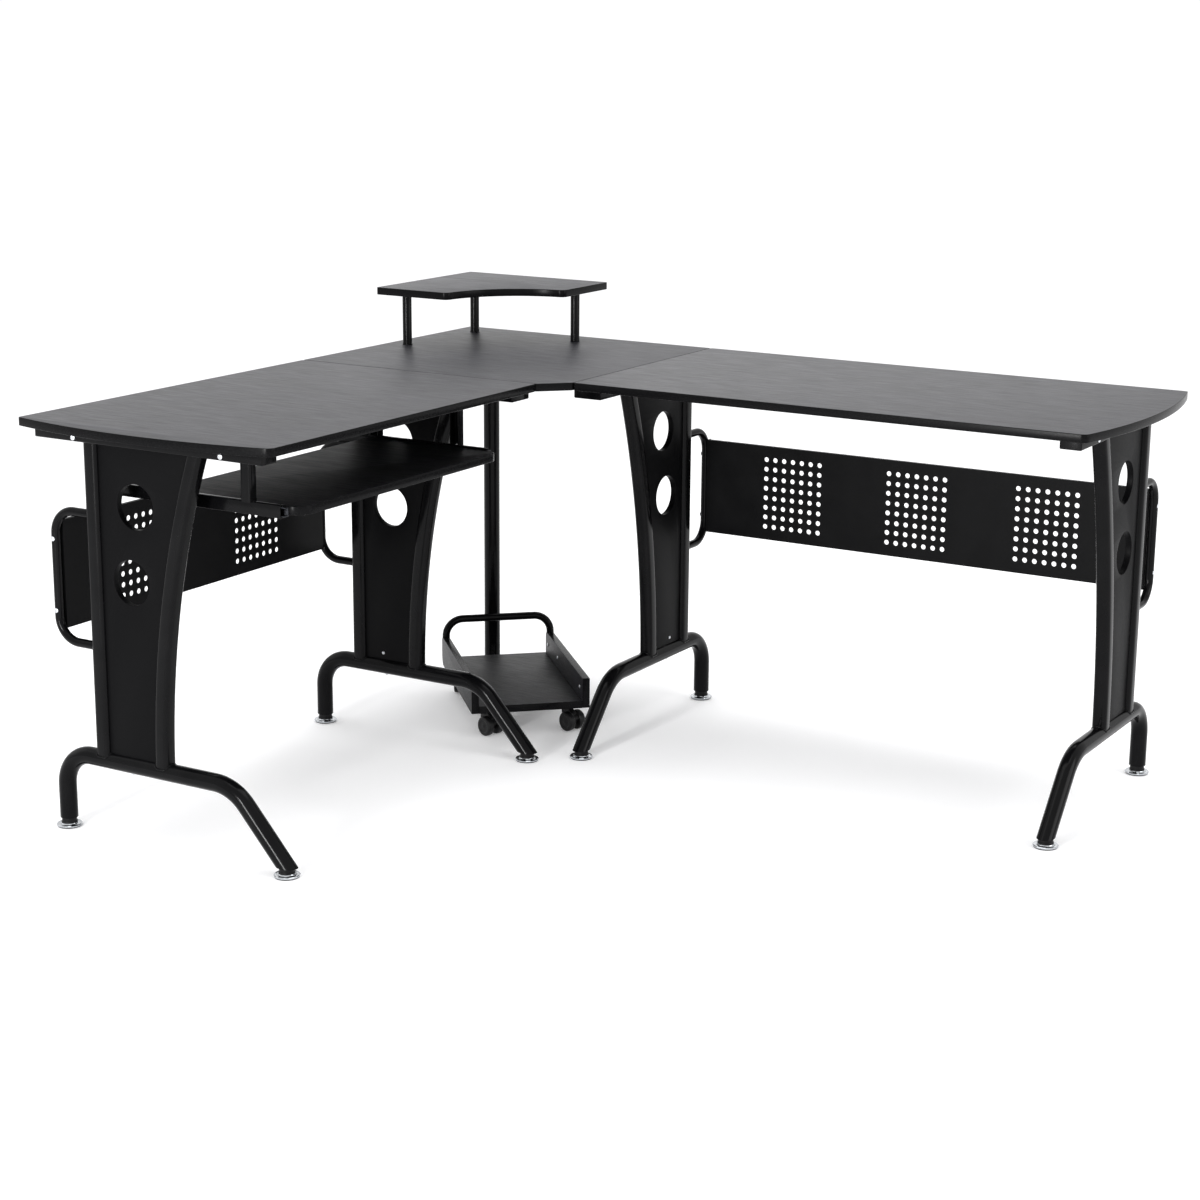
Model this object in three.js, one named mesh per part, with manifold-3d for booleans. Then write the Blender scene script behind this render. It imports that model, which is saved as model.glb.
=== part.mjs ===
// L-shaped computer desk with a keyboard tray, a raised shelf and a rolling tower stand.
// Millimetres, +Z up. The two wings meet at the back corner; the origin is on the floor
// under the middle of the whole desk.
import * as THREE from "three";
import Module from "manifold-3d";
import { mergeVertices, toCreasedNormals } from "three/addons/utils/BufferGeometryUtils.js";

const wasm = await Module();
wasm.setup();

// Overall sizes
const deskHeight = 745;
const rightBackLength = 1612;
const leftBackLength = 1396;
const boardDepth = 550;
const boardThickness = 15;
const endBow = 34;

// Corner board and board corners; the chamfer spans what the corner board has over a wing
const cornerChamfer = 50;
const cornerSide = boardDepth + cornerChamfer;
const boardCornerRadius = 6;
const frontCornerRadius = 14;
const endArcSteps = 14;
const cornerSteps = 3;

// Clearances between neighbouring pieces
const gap = 0.3;
const seamGap = 0.5;

// Legs: where each one stands along its wing
const endLegInset = 39;
const rightInnerLegShift = 12;
const leftEndLeg = leftBackLength - endLegInset;
const leftInnerLeg = cornerSide;
const rightInnerLeg = cornerSide + rightInnerLegShift;
const rightEndLeg = rightBackLength - endLegInset;

// Foot tube
const footTubeDiameter = 32;
const footRunHeight = 141;
const footEndHeight = 17;
const rearFootReach = 38;
const frontFootSetback = 20;
const frontFootReach = boardDepth - frontFootSetback;
const rearBendRadius = 70;
const frontBendRadius = 90;
const footSlopeDegrees = 48.3;

// Uprights
const uprightAlong = 30;
const uprightAcross = 28;
const uprightCorner = 9;
const rearUprightReach = 134.5;
const frontUprightReach = 269;
const frontUprightArc = 1748;

// Leg panel with two round holes
const panelThickness = 12;
const panelHoleDiameter = 80;
const upperHoleDrop = 139;
const holeSpacing = 134;
const holeShare = 0.47;

// Crossbar on top of each leg
const crossbarHeight = 20;
const endCrossbarWidth = 40;
const innerCrossbarWidth = 60;
const crossbarStart = 20;
const crossbarSetback = 35;

// Bent side bracket behind each leg
const bracketTube = 16;
const bracketTopDrop = 164;
const bracketHeight = 235;
const bracketReach = 38;
const bracketBend = 45;

// Perforated back panels
const backPanelHeight = 195;
const sheetThickness = 1.4;
const backPanelFlange = 15;
const hemDepth = 8;
const holeDiameter = 10;
const holePitch = 20;
const holeColumns = 7;
const holeRows = 8;
const holeFacets = 6;
const rightHoleMargin = 139;
const leftHoleMargin = 149;

// Levelling feet
const padDiameter = 46;
const padHeight = 7;
const padBevelAcross = 4;
const padBevelHeight = 3;
const hubDiameter = 24;
const stemDiameter = 8;
const stemRise = 12;
const stemClearance = 0.4;

// Keyboard tray; its near side is the one at the free end of the left wing
const trayNearMargin = 57;
const trayFarMargin = 100;
const trayWidth = leftEndLeg - trayNearMargin - (leftInnerLeg + trayFarMargin);
const trayCentre = leftInnerLeg + trayFarMargin + trayWidth / 2;
const trayDepth = 297;
const trayThickness = 15;
const trayDrop = 116;
const trayFrontSetback = 15;
const trayFront = boardDepth - trayFrontSetback;
const trayCornerRadius = 30;

// Tray slides and their hangers
const railLength = 350;
const railFrontSetback = 50;
const railStart = boardDepth - railFrontSetback - railLength;
const railHeight = 22;
const railWidth = 12.5;
const railRise = 2;
const railSheet = 1.5;
const railLipSetback = 1;
const runnerLength = 270;
const runnerHeight = 16;
const runnerPlay = 1;
const hangerSize = 20;
const hangerReach = 18;
const hangerSheet = 2;
const hangerPlateOverhang = 10;
const rearHangerOffset = 85;
const frontHangerOffset = 271;

// Raised shelf over the corner
const shelfSide = 350;
const shelfArm = 177;
const shelfRise = 105;
const shelfArcDepth = 47;
const shelfArcSteps = 10;
const shelfCornerRadius = 14;
const shelfPostDiameter = 19;
const collarDiameter = 20.5;
const collarHeight = 1.5;
const shelfPostSpots = { corner: [59, 72], left: [49, 309], right: [314, 74] };

// Support post under the corner
const postDiameter = 34;
const postSpot = [151, 147];
const postPlateDiameter = 62;
const postPlateHeight = 4;

// Rolling tower stand
const standLength = 382;
const standInnerWidth = 212;
const standTurnDegrees = -46.6;
const standPostGap = 46.5;
const standFloor = 70;
const standBoardThickness = 15;
const standSideThickness = 15;
const standSideRise = 47;
const standBackCorner = 22;
const standFrontCorner = 2;
const handleTube = 16;
const handleRise = 156.5;
const handleStraight = 4;
const handleInset = 12;

// Twin-wheel casters under the stand
const wheelDiameter = 40;
const wheelOuter = 20;
const wheelInner = 6.5;
const wheelBevelAcross = 5;
const wheelBevelAlong = 4;
const axleDiameter = 6;
const axleClearance = 0.4;
const casterTrail = 18;
const casterInsetAlong = 52;
const casterInsetAcross = 22;
const webThickness = 11;
const webProfile = [[-10, 46], [-10, 28], [8, 12], [22, 10], [30, 22], [26, 36], [10, 46]];
const casterHubDiameter = 20;
const casterHubTop = 51;
const wheelTopClearance = 1;
const casterStemDiameter = 8;
const casterStemTop = 66;
const frontCasterTurn = 28;
const backCasterTurn = 168;

// Materials
const woodGrain = material("#47474a", 0.5, 0.0);
const satinBlack = material("#1c1c1e", 0.42, 0.3);
const panelBlack = material("#242426", 0.5, 0.1);
const sheetBlack = material("#202022", 0.45, 0.3);
const chrome = material("#c9ccd0", 0.18, 1.0);
const slideSteel = material("#3a3b3e", 0.35, 0.8);
const rubberBlack = material("#161617", 0.6, 0.0);

// Heights that follow from the sizes above
const boardUnderside = deskHeight - boardThickness;
const crossbarTop = boardUnderside - gap;
const crossbarBottom = crossbarTop - crossbarHeight;
const legTop = crossbarBottom - gap;
const footRadius = footTubeDiameter / 2;
const bracketTop = deskHeight - bracketTopDrop;
const bracketMiddle = bracketTop - bracketHeight / 2;
const trayTop = deskHeight - trayDrop;
const railTop = trayTop + railRise;
const shelfUnderside = deskHeight + shelfRise;

// The desk's own frame has its origin at the back corner, where the wings meet; the whole
// is shifted so that the middle of the footprint is at the world's origin
const desk = new THREE.Group();
desk.name = "computer_desk";
const fromCorner = new THREE.Group();
fromCorner.position.set(-(rightBackLength + endBow) / 2, (leftBackLength + endBow) / 2, 0);
desk.add(fromCorner);

function material(colour, roughness, metalness) {
  return new THREE.MeshStandardMaterial({ color: colour, roughness, metalness });
}

function solidFrom(geometry) {
  const plain = geometry.clone();
  plain.deleteAttribute("normal");
  plain.deleteAttribute("uv");
  const welded = mergeVertices(plain, 1e-4);
  const vertProperties = new Float32Array(welded.attributes.position.array);
  const triVerts = new Uint32Array(welded.index.array);
  return new wasm.Manifold(new wasm.Mesh({ numProp: 3, vertProperties, triVerts }));
}

function geometryFrom(solid) {
  const mesh = solid.getMesh();
  const geometry = new THREE.BufferGeometry();
  geometry.setAttribute("position", new THREE.BufferAttribute(new Float32Array(mesh.vertProperties), 3));
  geometry.setIndex(new THREE.BufferAttribute(new Uint32Array(mesh.triVerts), 1));
  return geometry;
}

function addPiece(parent, name, geometry, surface, position = [0, 0, 0]) {
  const mesh = new THREE.Mesh(toCreasedNormals(geometry, Math.PI / 5), surface);
  mesh.name = name;
  mesh.position.set(...position);
  parent.add(mesh);
}

function addGroup(parent, position, turnDegrees) {
  const group = new THREE.Group();
  group.position.set(...position);
  group.rotation.z = THREE.MathUtils.degToRad(turnDegrees);
  parent.add(group);
  return group;
}

function box(x0, x1, y0, y1, z0, z1) {
  const geometry = new THREE.BoxGeometry(x1 - x0, y1 - y0, z1 - z0);
  geometry.translate((x0 + x1) / 2, (y0 + y1) / 2, (z0 + z1) / 2);
  return geometry;
}

function uprightCylinder(radius, z0, z1, facets) {
  const geometry = new THREE.CylinderGeometry(radius, radius, z1 - z0, facets);
  geometry.rotateX(Math.PI / 2);
  geometry.translate(0, 0, (z0 + z1) / 2);
  return geometry;
}

// Turned solid about the Z axis from a profile of [radius, height] points
function turned(profile, facets) {
  const points = profile.map(([radius, height]) => new THREE.Vector2(radius, height));
  const geometry = new THREE.LatheGeometry(points, facets);
  geometry.rotateX(Math.PI / 2);
  return geometry;
}

function plate(shape, thickness, curveSegments) {
  return new THREE.ExtrudeGeometry(shape, { depth: thickness, bevelEnabled: false, curveSegments });
}

// Closed outline through the corners, each corner rounded by its own radius
function roundedOutline(corners) {
  const shape = new THREE.Shape();
  corners.forEach((corner, index) => {
    const here = new THREE.Vector2(corner.x, corner.y);
    if (corner.radius === 0) {
      shape.lineTo(here.x, here.y);
      return;
    }
    const before = corners[(index + corners.length - 1) % corners.length];
    const after = corners[(index + 1) % corners.length];
    const toBefore = new THREE.Vector2(before.x, before.y).sub(here).normalize();
    const toAfter = new THREE.Vector2(after.x, after.y).sub(here).normalize();
    const half = Math.acos(THREE.MathUtils.clamp(toBefore.dot(toAfter), -1, 1)) / 2;
    const reach = corner.radius / Math.tan(half);
    const start = here.clone().addScaledVector(toBefore, reach);
    const end = here.clone().addScaledVector(toAfter, reach);
    if (index === 0) {
      shape.moveTo(start.x, start.y);
    } else {
      shape.lineTo(start.x, start.y);
    }
    shape.quadraticCurveTo(here.x, here.y, end.x, end.y);
  });
  shape.closePath();
  return shape;
}

function corner(x, y, radius) {
  return { x, y, radius };
}

// Points of a shallow arc from one end of a chord to the other, without the ends. The arc
// bulges to the right of its direction, or to the left when the depth is negative
function arcBetween(from, to, bulge, count) {
  const depth = Math.abs(bulge);
  const middle = new THREE.Vector2((from[0] + to[0]) / 2, (from[1] + to[1]) / 2);
  const along = new THREE.Vector2(to[0] - from[0], to[1] - from[1]);
  const half = along.length() / 2;
  along.normalize();
  const side = new THREE.Vector2(along.y, -along.x).multiplyScalar(Math.sign(bulge));
  const radius = (half * half + depth * depth) / (2 * depth);
  const points = [];
  for (let step = 1; step < count; step += 1) {
    const distance = half * (2 * step / count - 1);
    const lift = Math.sqrt(radius * radius - distance * distance) - (radius - depth);
    points.push([
      middle.x + along.x * distance + side.x * lift,
      middle.y + along.y * distance + side.y * lift
    ]);
  }
  return points;
}

// Groups that stand on a wing at a distance from the back corner: their X runs from the
// back edge to the front edge, their Y along the wing
function onLeftWing(distance) {
  return addGroup(fromCorner, [0, -distance, 0], 0);
}

function onRightWing(distance) {
  return addGroup(fromCorner, [distance, 0, 0], -90);
}

// Path in the plane of a leg: straight runs with rounded corners, as [reach, height] points
function roundedPath(points, radii, arcSteps) {
  const path = [new THREE.Vector2(...points[0])];
  for (let index = 1; index < points.length - 1; index += 1) {
    const here = new THREE.Vector2(...points[index]);
    const toBefore = new THREE.Vector2(...points[index - 1]).sub(here).normalize();
    const toAfter = new THREE.Vector2(...points[index + 1]).sub(here).normalize();
    const half = Math.acos(toBefore.dot(toAfter)) / 2;
    const radius = radii[index - 1];
    const reach = radius / Math.tan(half);
    const bisector = toBefore.clone().add(toAfter).normalize();
    const centre = here.clone().addScaledVector(bisector, radius / Math.sin(half));
    const start = here.clone().addScaledVector(toBefore, reach).sub(centre);
    const end = here.clone().addScaledVector(toAfter, reach).sub(centre);
    const sweep = Math.atan2(start.x * end.y - start.y * end.x, start.dot(end));
    for (let step = 0; step <= arcSteps; step += 1) {
      const spoke = start.clone().rotateAround(new THREE.Vector2(0, 0), sweep * step / arcSteps);
      path.push(centre.clone().add(spoke));
    }
  }
  path.push(new THREE.Vector2(...points[points.length - 1]));
  return path;
}

// Bar swept along a path in the leg plane; the section is a closed ring of
// [in plane, across] points
function sweptBar(path, section) {
  const positions = [];
  path.forEach((point, index) => {
    const before = path[Math.max(index - 1, 0)];
    const after = path[Math.min(index + 1, path.length - 1)];
    const tangent = after.clone().sub(before).normalize();
    section.forEach(([inPlane, across]) => {
      positions.push(point.x - tangent.y * inPlane, across, point.y + tangent.x * inPlane);
    });
  });
  const ring = section.length;
  const indices = [];
  for (let index = 0; index < path.length - 1; index += 1) {
    for (let side = 0; side < ring; side += 1) {
      const a = index * ring + side;
      const b = index * ring + (side + 1) % ring;
      indices.push(a, a + ring, b, b, a + ring, b + ring);
    }
  }
  const last = (path.length - 1) * ring;
  for (let side = 1; side < ring - 1; side += 1) {
    indices.push(0, side, side + 1);
    indices.push(last, last + side + 1, last + side);
  }
  const geometry = new THREE.BufferGeometry();
  geometry.setAttribute("position", new THREE.Float32BufferAttribute(positions, 3));
  geometry.setIndex(indices);
  return geometry;
}

function roundSection(radius, facets) {
  const ring = [];
  for (let step = 0; step < facets; step += 1) {
    const angle = 2 * Math.PI * (step + 0.5) / facets;
    ring.push([radius * Math.cos(angle), radius * Math.sin(angle)]);
  }
  return ring;
}

function roundedSection(along, across, radius, grow) {
  const ring = [];
  const arcSteps = 2;
  const halfAlong = along / 2 - radius;
  const halfAcross = across / 2 - radius;
  [[1, 1], [-1, 1], [-1, -1], [1, -1]].forEach(([signAlong, signAcross], quarter) => {
    for (let step = 0; step <= arcSteps; step += 1) {
      const angle = Math.PI / 2 * (quarter + step / arcSteps);
      ring.push([
        signAlong * halfAlong + (radius + grow) * Math.cos(angle),
        signAcross * halfAcross + (radius + grow) * Math.sin(angle)
      ]);
    }
  });
  return ring;
}

// Boards

function buildRightBoard() {
  const start = cornerSide + seamGap;
  const backEnd = [rightBackLength, 0];
  const frontEnd = [rightBackLength, -boardDepth];
  const outline = [corner(start, -boardDepth, boardCornerRadius), corner(...frontEnd, frontCornerRadius)];
  arcBetween(frontEnd, backEnd, endBow, endArcSteps).forEach(([x, y]) => outline.push(corner(x, y, 0)));
  outline.push(corner(...backEnd, boardCornerRadius));
  outline.push(corner(start, 0, boardCornerRadius));
  return plate(roundedOutline(outline), boardThickness, cornerSteps);
}

function buildLeftBoard() {
  const start = -(cornerSide + seamGap);
  const backEnd = [0, -leftBackLength];
  const frontEnd = [boardDepth, -leftBackLength];
  const outline = [corner(0, start, boardCornerRadius), corner(...backEnd, boardCornerRadius)];
  arcBetween(backEnd, frontEnd, endBow, endArcSteps).forEach(([x, y]) => outline.push(corner(x, y, 0)));
  outline.push(corner(...frontEnd, frontCornerRadius));
  outline.push(corner(boardDepth, start, boardCornerRadius));
  return plate(roundedOutline(outline), boardThickness, cornerSteps);
}

function buildCornerBoard() {
  const outline = roundedOutline([
    corner(0, 0, boardCornerRadius),
    corner(0, -cornerSide, boardCornerRadius),
    corner(cornerSide - cornerChamfer, -cornerSide, boardCornerRadius),
    corner(cornerSide, -(cornerSide - cornerChamfer), boardCornerRadius),
    corner(cornerSide, 0, boardCornerRadius)
  ]);
  return plate(outline, boardThickness, cornerSteps);
}

function buildShelf() {
  const leftInner = [shelfArm, -shelfSide];
  const rightInner = [shelfSide, -shelfArm];
  const outline = [
    corner(0, 0, boardCornerRadius),
    corner(0, -shelfSide, boardCornerRadius),
    corner(...leftInner, shelfCornerRadius)
  ];
  arcBetween(leftInner, rightInner, -shelfArcDepth, shelfArcSteps).forEach(([x, y]) => {
    outline.push(corner(x, y, 0));
  });
  outline.push(corner(...rightInner, shelfCornerRadius));
  outline.push(corner(shelfSide, 0, boardCornerRadius));
  return plate(roundedOutline(outline), boardThickness, cornerSteps);
}

function addBoards() {
  const onFrame = [0, 0, boardUnderside];
  addPiece(fromCorner, "top_left_board", buildLeftBoard(), woodGrain, onFrame);
  addPiece(fromCorner, "top_corner_board", buildCornerBoard(), woodGrain, onFrame);
  addPiece(fromCorner, "top_right_board", buildRightBoard(), woodGrain, onFrame);
  addPiece(fromCorner, "shelf_board", buildShelf(), woodGrain, [0, 0, shelfUnderside]);
}

function addShelfPosts() {
  const bottom = deskHeight + gap;
  const top = shelfUnderside - gap;
  const radius = shelfPostDiameter / 2;
  const collar = collarDiameter / 2;
  const post = turned([
    [0, bottom],
    [collar, bottom],
    [collar, bottom + collarHeight],
    [radius, bottom + collarHeight],
    [radius, top],
    [0, top]
  ], 14);
  Object.entries(shelfPostSpots).forEach(([side, [x, y]]) => {
    addPiece(fromCorner, `shelf_post_${side}`, post, satinBlack, [x, -y, 0]);
  });
}

// Leg pieces, all in the plane of the leg

function footPath() {
  const slope = THREE.MathUtils.degToRad(footSlopeDegrees);
  const elbow = frontFootReach - (footRunHeight - footEndHeight) / Math.tan(slope);
  const below = footTubeDiameter;
  const toe = frontFootReach + below / Math.tan(slope);
  return roundedPath(
    [[rearFootReach, footEndHeight], [rearFootReach, footRunHeight], [elbow, footRunHeight],
      [toe, footEndHeight - below]],
    [rearBendRadius, frontBendRadius],
    5
  );
}

function footSolid(radius) {
  return solidFrom(sweptBar(footPath(), roundSection(radius, 12)));
}

// The foot tube is cut level above the pads and bored for the threaded stems
function buildFootTube() {
  const below = box(0, boardDepth * 2, -boardDepth, boardDepth, -boardDepth, footEndHeight);
  let tube = footSolid(footRadius).subtract(solidFrom(below));
  [rearFootReach, frontFootReach].forEach((reach) => {
    const bore = uprightCylinder(
      stemDiameter / 2 + stemClearance,
      -footEndHeight,
      footEndHeight + stemRise + stemClearance,
      10
    );
    bore.translate(reach, 0, 0);
    tube = tube.subtract(solidFrom(bore));
  });
  return geometryFrom(tube);
}

function rearUprightPath() {
  return [
    new THREE.Vector2(rearUprightReach, footRunHeight),
    new THREE.Vector2(rearUprightReach, legTop)
  ];
}

function frontUprightReachAt(height) {
  const rise = Math.max(height - footRunHeight, 0);
  return frontUprightReach + frontUprightArc - Math.sqrt(frontUprightArc ** 2 - rise ** 2);
}

function frontUprightPath(top) {
  const steps = 7;
  const path = [];
  for (let step = 0; step <= steps; step += 1) {
    const height = footRunHeight + (top - footRunHeight) * step / steps;
    path.push(new THREE.Vector2(frontUprightReachAt(height), height));
  }
  return path;
}

function uprightSolid(path, grow) {
  const section = roundedSection(uprightAlong, uprightAcross, uprightCorner, grow);
  return solidFrom(sweptBar(path, section));
}

function levelCut(solid) {
  const above = box(0, boardDepth * 2, -boardDepth, boardDepth, legTop, deskHeight * 2);
  return solid.subtract(solidFrom(above));
}

function buildRearUpright() {
  return geometryFrom(uprightSolid(rearUprightPath(), 0).subtract(footSolid(footRadius + gap)));
}

function buildFrontUpright() {
  const long = uprightSolid(frontUprightPath(legTop + uprightAlong), 0);
  return geometryFrom(levelCut(long).subtract(footSolid(footRadius + gap)));
}

function panelHoleAt(height) {
  const rear = rearUprightReach + uprightAlong / 2;
  const front = frontUprightReachAt(height) - uprightAlong / 2;
  return rear + (front - rear) * holeShare;
}

function buildLegPanel() {
  const bottom = footRunHeight;
  const outline = new THREE.Shape();
  outline.moveTo(rearUprightReach, bottom);
  frontUprightPath(legTop).forEach((point) => outline.lineTo(point.x, point.y));
  outline.lineTo(rearUprightReach, legTop);
  outline.closePath();
  const upperHole = deskHeight - upperHoleDrop;
  [upperHole, upperHole - holeSpacing].forEach((height) => {
    const hole = new THREE.Path();
    hole.absarc(panelHoleAt(height), height, panelHoleDiameter / 2, 0, 2 * Math.PI, true);
    outline.holes.push(hole);
  });
  const sheet = plate(outline, panelThickness, 10);
  sheet.translate(0, 0, -panelThickness / 2);
  sheet.rotateX(Math.PI / 2);
  return geometryFrom(
    solidFrom(sheet)
      .subtract(uprightSolid(rearUprightPath(), gap))
      .subtract(uprightSolid(frontUprightPath(legTop + uprightAlong), gap))
      .subtract(footSolid(footRadius + gap))
  );
}

function buildCrossbar(width) {
  const end = boardDepth - crossbarSetback;
  return box(crossbarStart, end, -width / 2, width / 2, crossbarBottom, crossbarTop);
}

function buildSideBracket() {
  const path = roundedPath(
    [[rearUprightReach, bracketTop], [bracketReach, bracketTop],
      [bracketReach, bracketTop - bracketHeight], [rearUprightReach, bracketTop - bracketHeight]],
    [bracketBend, bracketBend],
    4
  );
  const loop = solidFrom(sweptBar(path, roundSection(bracketTube / 2, 8)));
  return geometryFrom(loop.subtract(uprightSolid(rearUprightPath(), gap)));
}

function buildLevellingFoot() {
  const padRadius = padDiameter / 2;
  const hubTop = footEndHeight - gap;
  return turned([
    [0, 0],
    [padRadius, 0],
    [padRadius, padHeight - padBevelHeight],
    [padRadius - padBevelAcross, padHeight],
    [hubDiameter / 2, padHeight],
    [hubDiameter / 2, hubTop],
    [stemDiameter / 2, hubTop],
    [stemDiameter / 2, footEndHeight + stemRise],
    [0, footEndHeight + stemRise]
  ], 14);
}

function addLegs() {
  const footTube = buildFootTube();
  const rearUpright = buildRearUpright();
  const frontUpright = buildFrontUpright();
  const legPanel = buildLegPanel();
  const sideBracket = buildSideBracket();
  const levellingFoot = buildLevellingFoot();
  const legs = {
    left_end: [onLeftWing(leftEndLeg), endCrossbarWidth],
    left_inner: [onLeftWing(leftInnerLeg), innerCrossbarWidth],
    right_inner: [onRightWing(rightInnerLeg), innerCrossbarWidth],
    right_end: [onRightWing(rightEndLeg), endCrossbarWidth]
  };
  Object.entries(legs).forEach(([name, [leg, crossbarWidth]]) => {
    addPiece(leg, `${name}_foot_tube`, footTube, satinBlack);
    addPiece(leg, `${name}_rear_upright`, rearUpright, satinBlack);
    addPiece(leg, `${name}_front_upright`, frontUpright, satinBlack);
    addPiece(leg, `${name}_leg_panel`, legPanel, panelBlack);
    addPiece(leg, `${name}_crossbar`, buildCrossbar(crossbarWidth), satinBlack);
    addPiece(leg, `${name}_side_bracket`, sideBracket, satinBlack);
    addPiece(leg, `${name}_rear_levelling_foot`, levellingFoot, chrome, [rearFootReach, 0, 0]);
    addPiece(leg, `${name}_front_levelling_foot`, levellingFoot, chrome, [frontFootReach, 0, 0]);
  });
}

// Back panels: a sheet with hemmed edges and a flange at each end, local Y along the wing

function buildBackPanel(length, groups, margin) {
  const half = length / 2;
  const groupWidth = (holeColumns - 1) * holePitch;
  const groupPitch = (length - groupWidth - 2 * margin) / (groups - 1);
  const face = new THREE.Shape();
  face.moveTo(-half, -backPanelHeight / 2);
  face.lineTo(half, -backPanelHeight / 2);
  face.lineTo(half, backPanelHeight / 2);
  face.lineTo(-half, backPanelHeight / 2);
  face.closePath();
  for (let block = 0; block < groups; block += 1) {
    for (let column = 0; column < holeColumns; column += 1) {
      for (let row = 0; row < holeRows; row += 1) {
        const x = (block - (groups - 1) / 2) * groupPitch + (column - (holeColumns - 1) / 2) * holePitch;
        const y = (row - (holeRows - 1) / 2) * holePitch;
        const hole = new THREE.Path();
        for (let facet = 0; facet < holeFacets; facet += 1) {
          const angle = -2 * Math.PI * facet / holeFacets;
          const px = x + holeDiameter / 2 * Math.cos(angle);
          const py = y + holeDiameter / 2 * Math.sin(angle);
          if (facet === 0) {
            hole.moveTo(px, py);
          } else {
            hole.lineTo(px, py);
          }
        }
        hole.closePath();
        face.holes.push(hole);
      }
    }
  }
  const sheet = plate(face, sheetThickness, 1);
  sheet.rotateX(Math.PI / 2);
  sheet.rotateZ(Math.PI / 2);
  const front = bracketReach + bracketTube / 2 + sheetThickness;
  sheet.translate(front - sheetThickness, 0, bracketMiddle);
  const bottom = bracketMiddle - backPanelHeight / 2;
  const top = bracketMiddle + backPanelHeight / 2;
  const overlap = sheetThickness / 2;
  const folds = [
    box(front - backPanelFlange, front - overlap, -half, -half + sheetThickness, bottom, top),
    box(front - backPanelFlange, front - overlap, half - sheetThickness, half, bottom, top),
    box(front - hemDepth, front - overlap, -half, half, bottom, bottom + sheetThickness),
    box(front - hemDepth, front - overlap, -half, half, top - sheetThickness, top)
  ];
  return geometryFrom(folds.reduce((whole, fold) => whole.add(solidFrom(fold)), solidFrom(sheet)));
}

function addBackPanels() {
  const sideRoom = bracketTube / 2 + gap;
  addPiece(
    onLeftWing((leftEndLeg + leftInnerLeg) / 2),
    "left_back_panel",
    buildBackPanel(leftEndLeg - leftInnerLeg - 2 * sideRoom, 2, leftHoleMargin),
    sheetBlack
  );
  addPiece(
    onRightWing((rightEndLeg + rightInnerLeg) / 2),
    "right_back_panel",
    buildBackPanel(rightEndLeg - rightInnerLeg - 2 * sideRoom, 3, rightHoleMargin),
    sheetBlack
  );
}

// Keyboard tray: local X is the way it slides, local Y along the wing from the tray's middle

function buildTray() {
  const half = trayWidth / 2;
  const back = trayFront - trayDepth;
  const outline = roundedOutline([
    corner(back, -half, boardCornerRadius),
    corner(trayFront, -half, trayCornerRadius),
    corner(trayFront, half, trayCornerRadius),
    corner(back, half, boardCornerRadius)
  ]);
  const tray = plate(outline, trayThickness, 6);
  tray.translate(0, 0, trayTop - trayThickness);
  return tray;
}

// Channel that opens towards the tray, with two hangers up to the board; the hangers are
// deeper than the rail and stand out on its far side, so that nothing is over the tray
function buildFixedRail(side) {
  const outer = side * (trayWidth / 2 + railWidth + gap);
  const inward = (distance) => outer - side * distance;
  const slab = (x0, x1, a, b, z0, z1) => {
    const ya = inward(a);
    const yb = inward(b);
    return solidFrom(box(x0, x1, Math.min(ya, yb), Math.max(ya, yb), z0, z1));
  };
  const railBottom = railTop - railHeight;
  const railEnd = railStart + railLength;
  const lip = railWidth - railLipSetback;
  const hangerBack = railWidth - hangerReach;
  const plateTop = boardUnderside - gap;
  let rail = slab(railStart, railEnd, 0, railSheet, railBottom, railTop);
  rail = rail.add(slab(railStart, railEnd, 0, lip, railBottom, railBottom + railSheet));
  rail = rail.add(slab(railStart, railEnd, 0, lip, railTop - railSheet, railTop));
  [rearHangerOffset, frontHangerOffset].forEach((offset) => {
    const start = railStart + offset;
    const end = start + hangerSize;
    const foot = railTop - railSheet / 2;
    rail = rail.add(slab(start, end, hangerBack, hangerBack + hangerSheet, foot, plateTop));
    rail = rail.add(slab(start, start + hangerSheet, hangerBack, railWidth, foot, plateTop));
    rail = rail.add(slab(end - hangerSheet, end, hangerBack, railWidth, foot, plateTop));
    rail = rail.add(slab(
      start - hangerPlateOverhang,
      end + hangerPlateOverhang,
      hangerBack,
      railWidth,
      plateTop - hangerSheet,
      plateTop
    ));
  });
  return geometryFrom(rail);
}

// Channel fixed to the tray's side; it opens outwards and runs inside the fixed rail
function buildRunner(side) {
  const inner = side * (trayWidth / 2 + gap);
  const outer = inner + side * (railWidth - railSheet - runnerPlay);
  const web = inner + side * railSheet;
  const start = trayFront - trayDepth;
  const middle = railTop - railHeight / 2;
  const bottom = middle - runnerHeight / 2;
  const top = middle + runnerHeight / 2;
  const slab = (a, b, z0, z1) => solidFrom(
    box(start, start + runnerLength, Math.min(a, b), Math.max(a, b), z0, z1)
  );
  return geometryFrom(
    slab(inner, web, bottom, top)
      .add(slab(inner, outer, bottom, bottom + railSheet))
      .add(slab(inner, outer, top - railSheet, top))
  );
}

function addKeyboardTray() {
  const trayBay = onLeftWing(trayCentre);
  addPiece(trayBay, "keyboard_tray", buildTray(), woodGrain);
  [["near", -1], ["far", 1]].forEach(([name, side]) => {
    addPiece(trayBay, `tray_fixed_rail_${name}`, buildFixedRail(side), satinBlack);
    addPiece(trayBay, `tray_runner_${name}`, buildRunner(side), slideSteel);
  });
}

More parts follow.
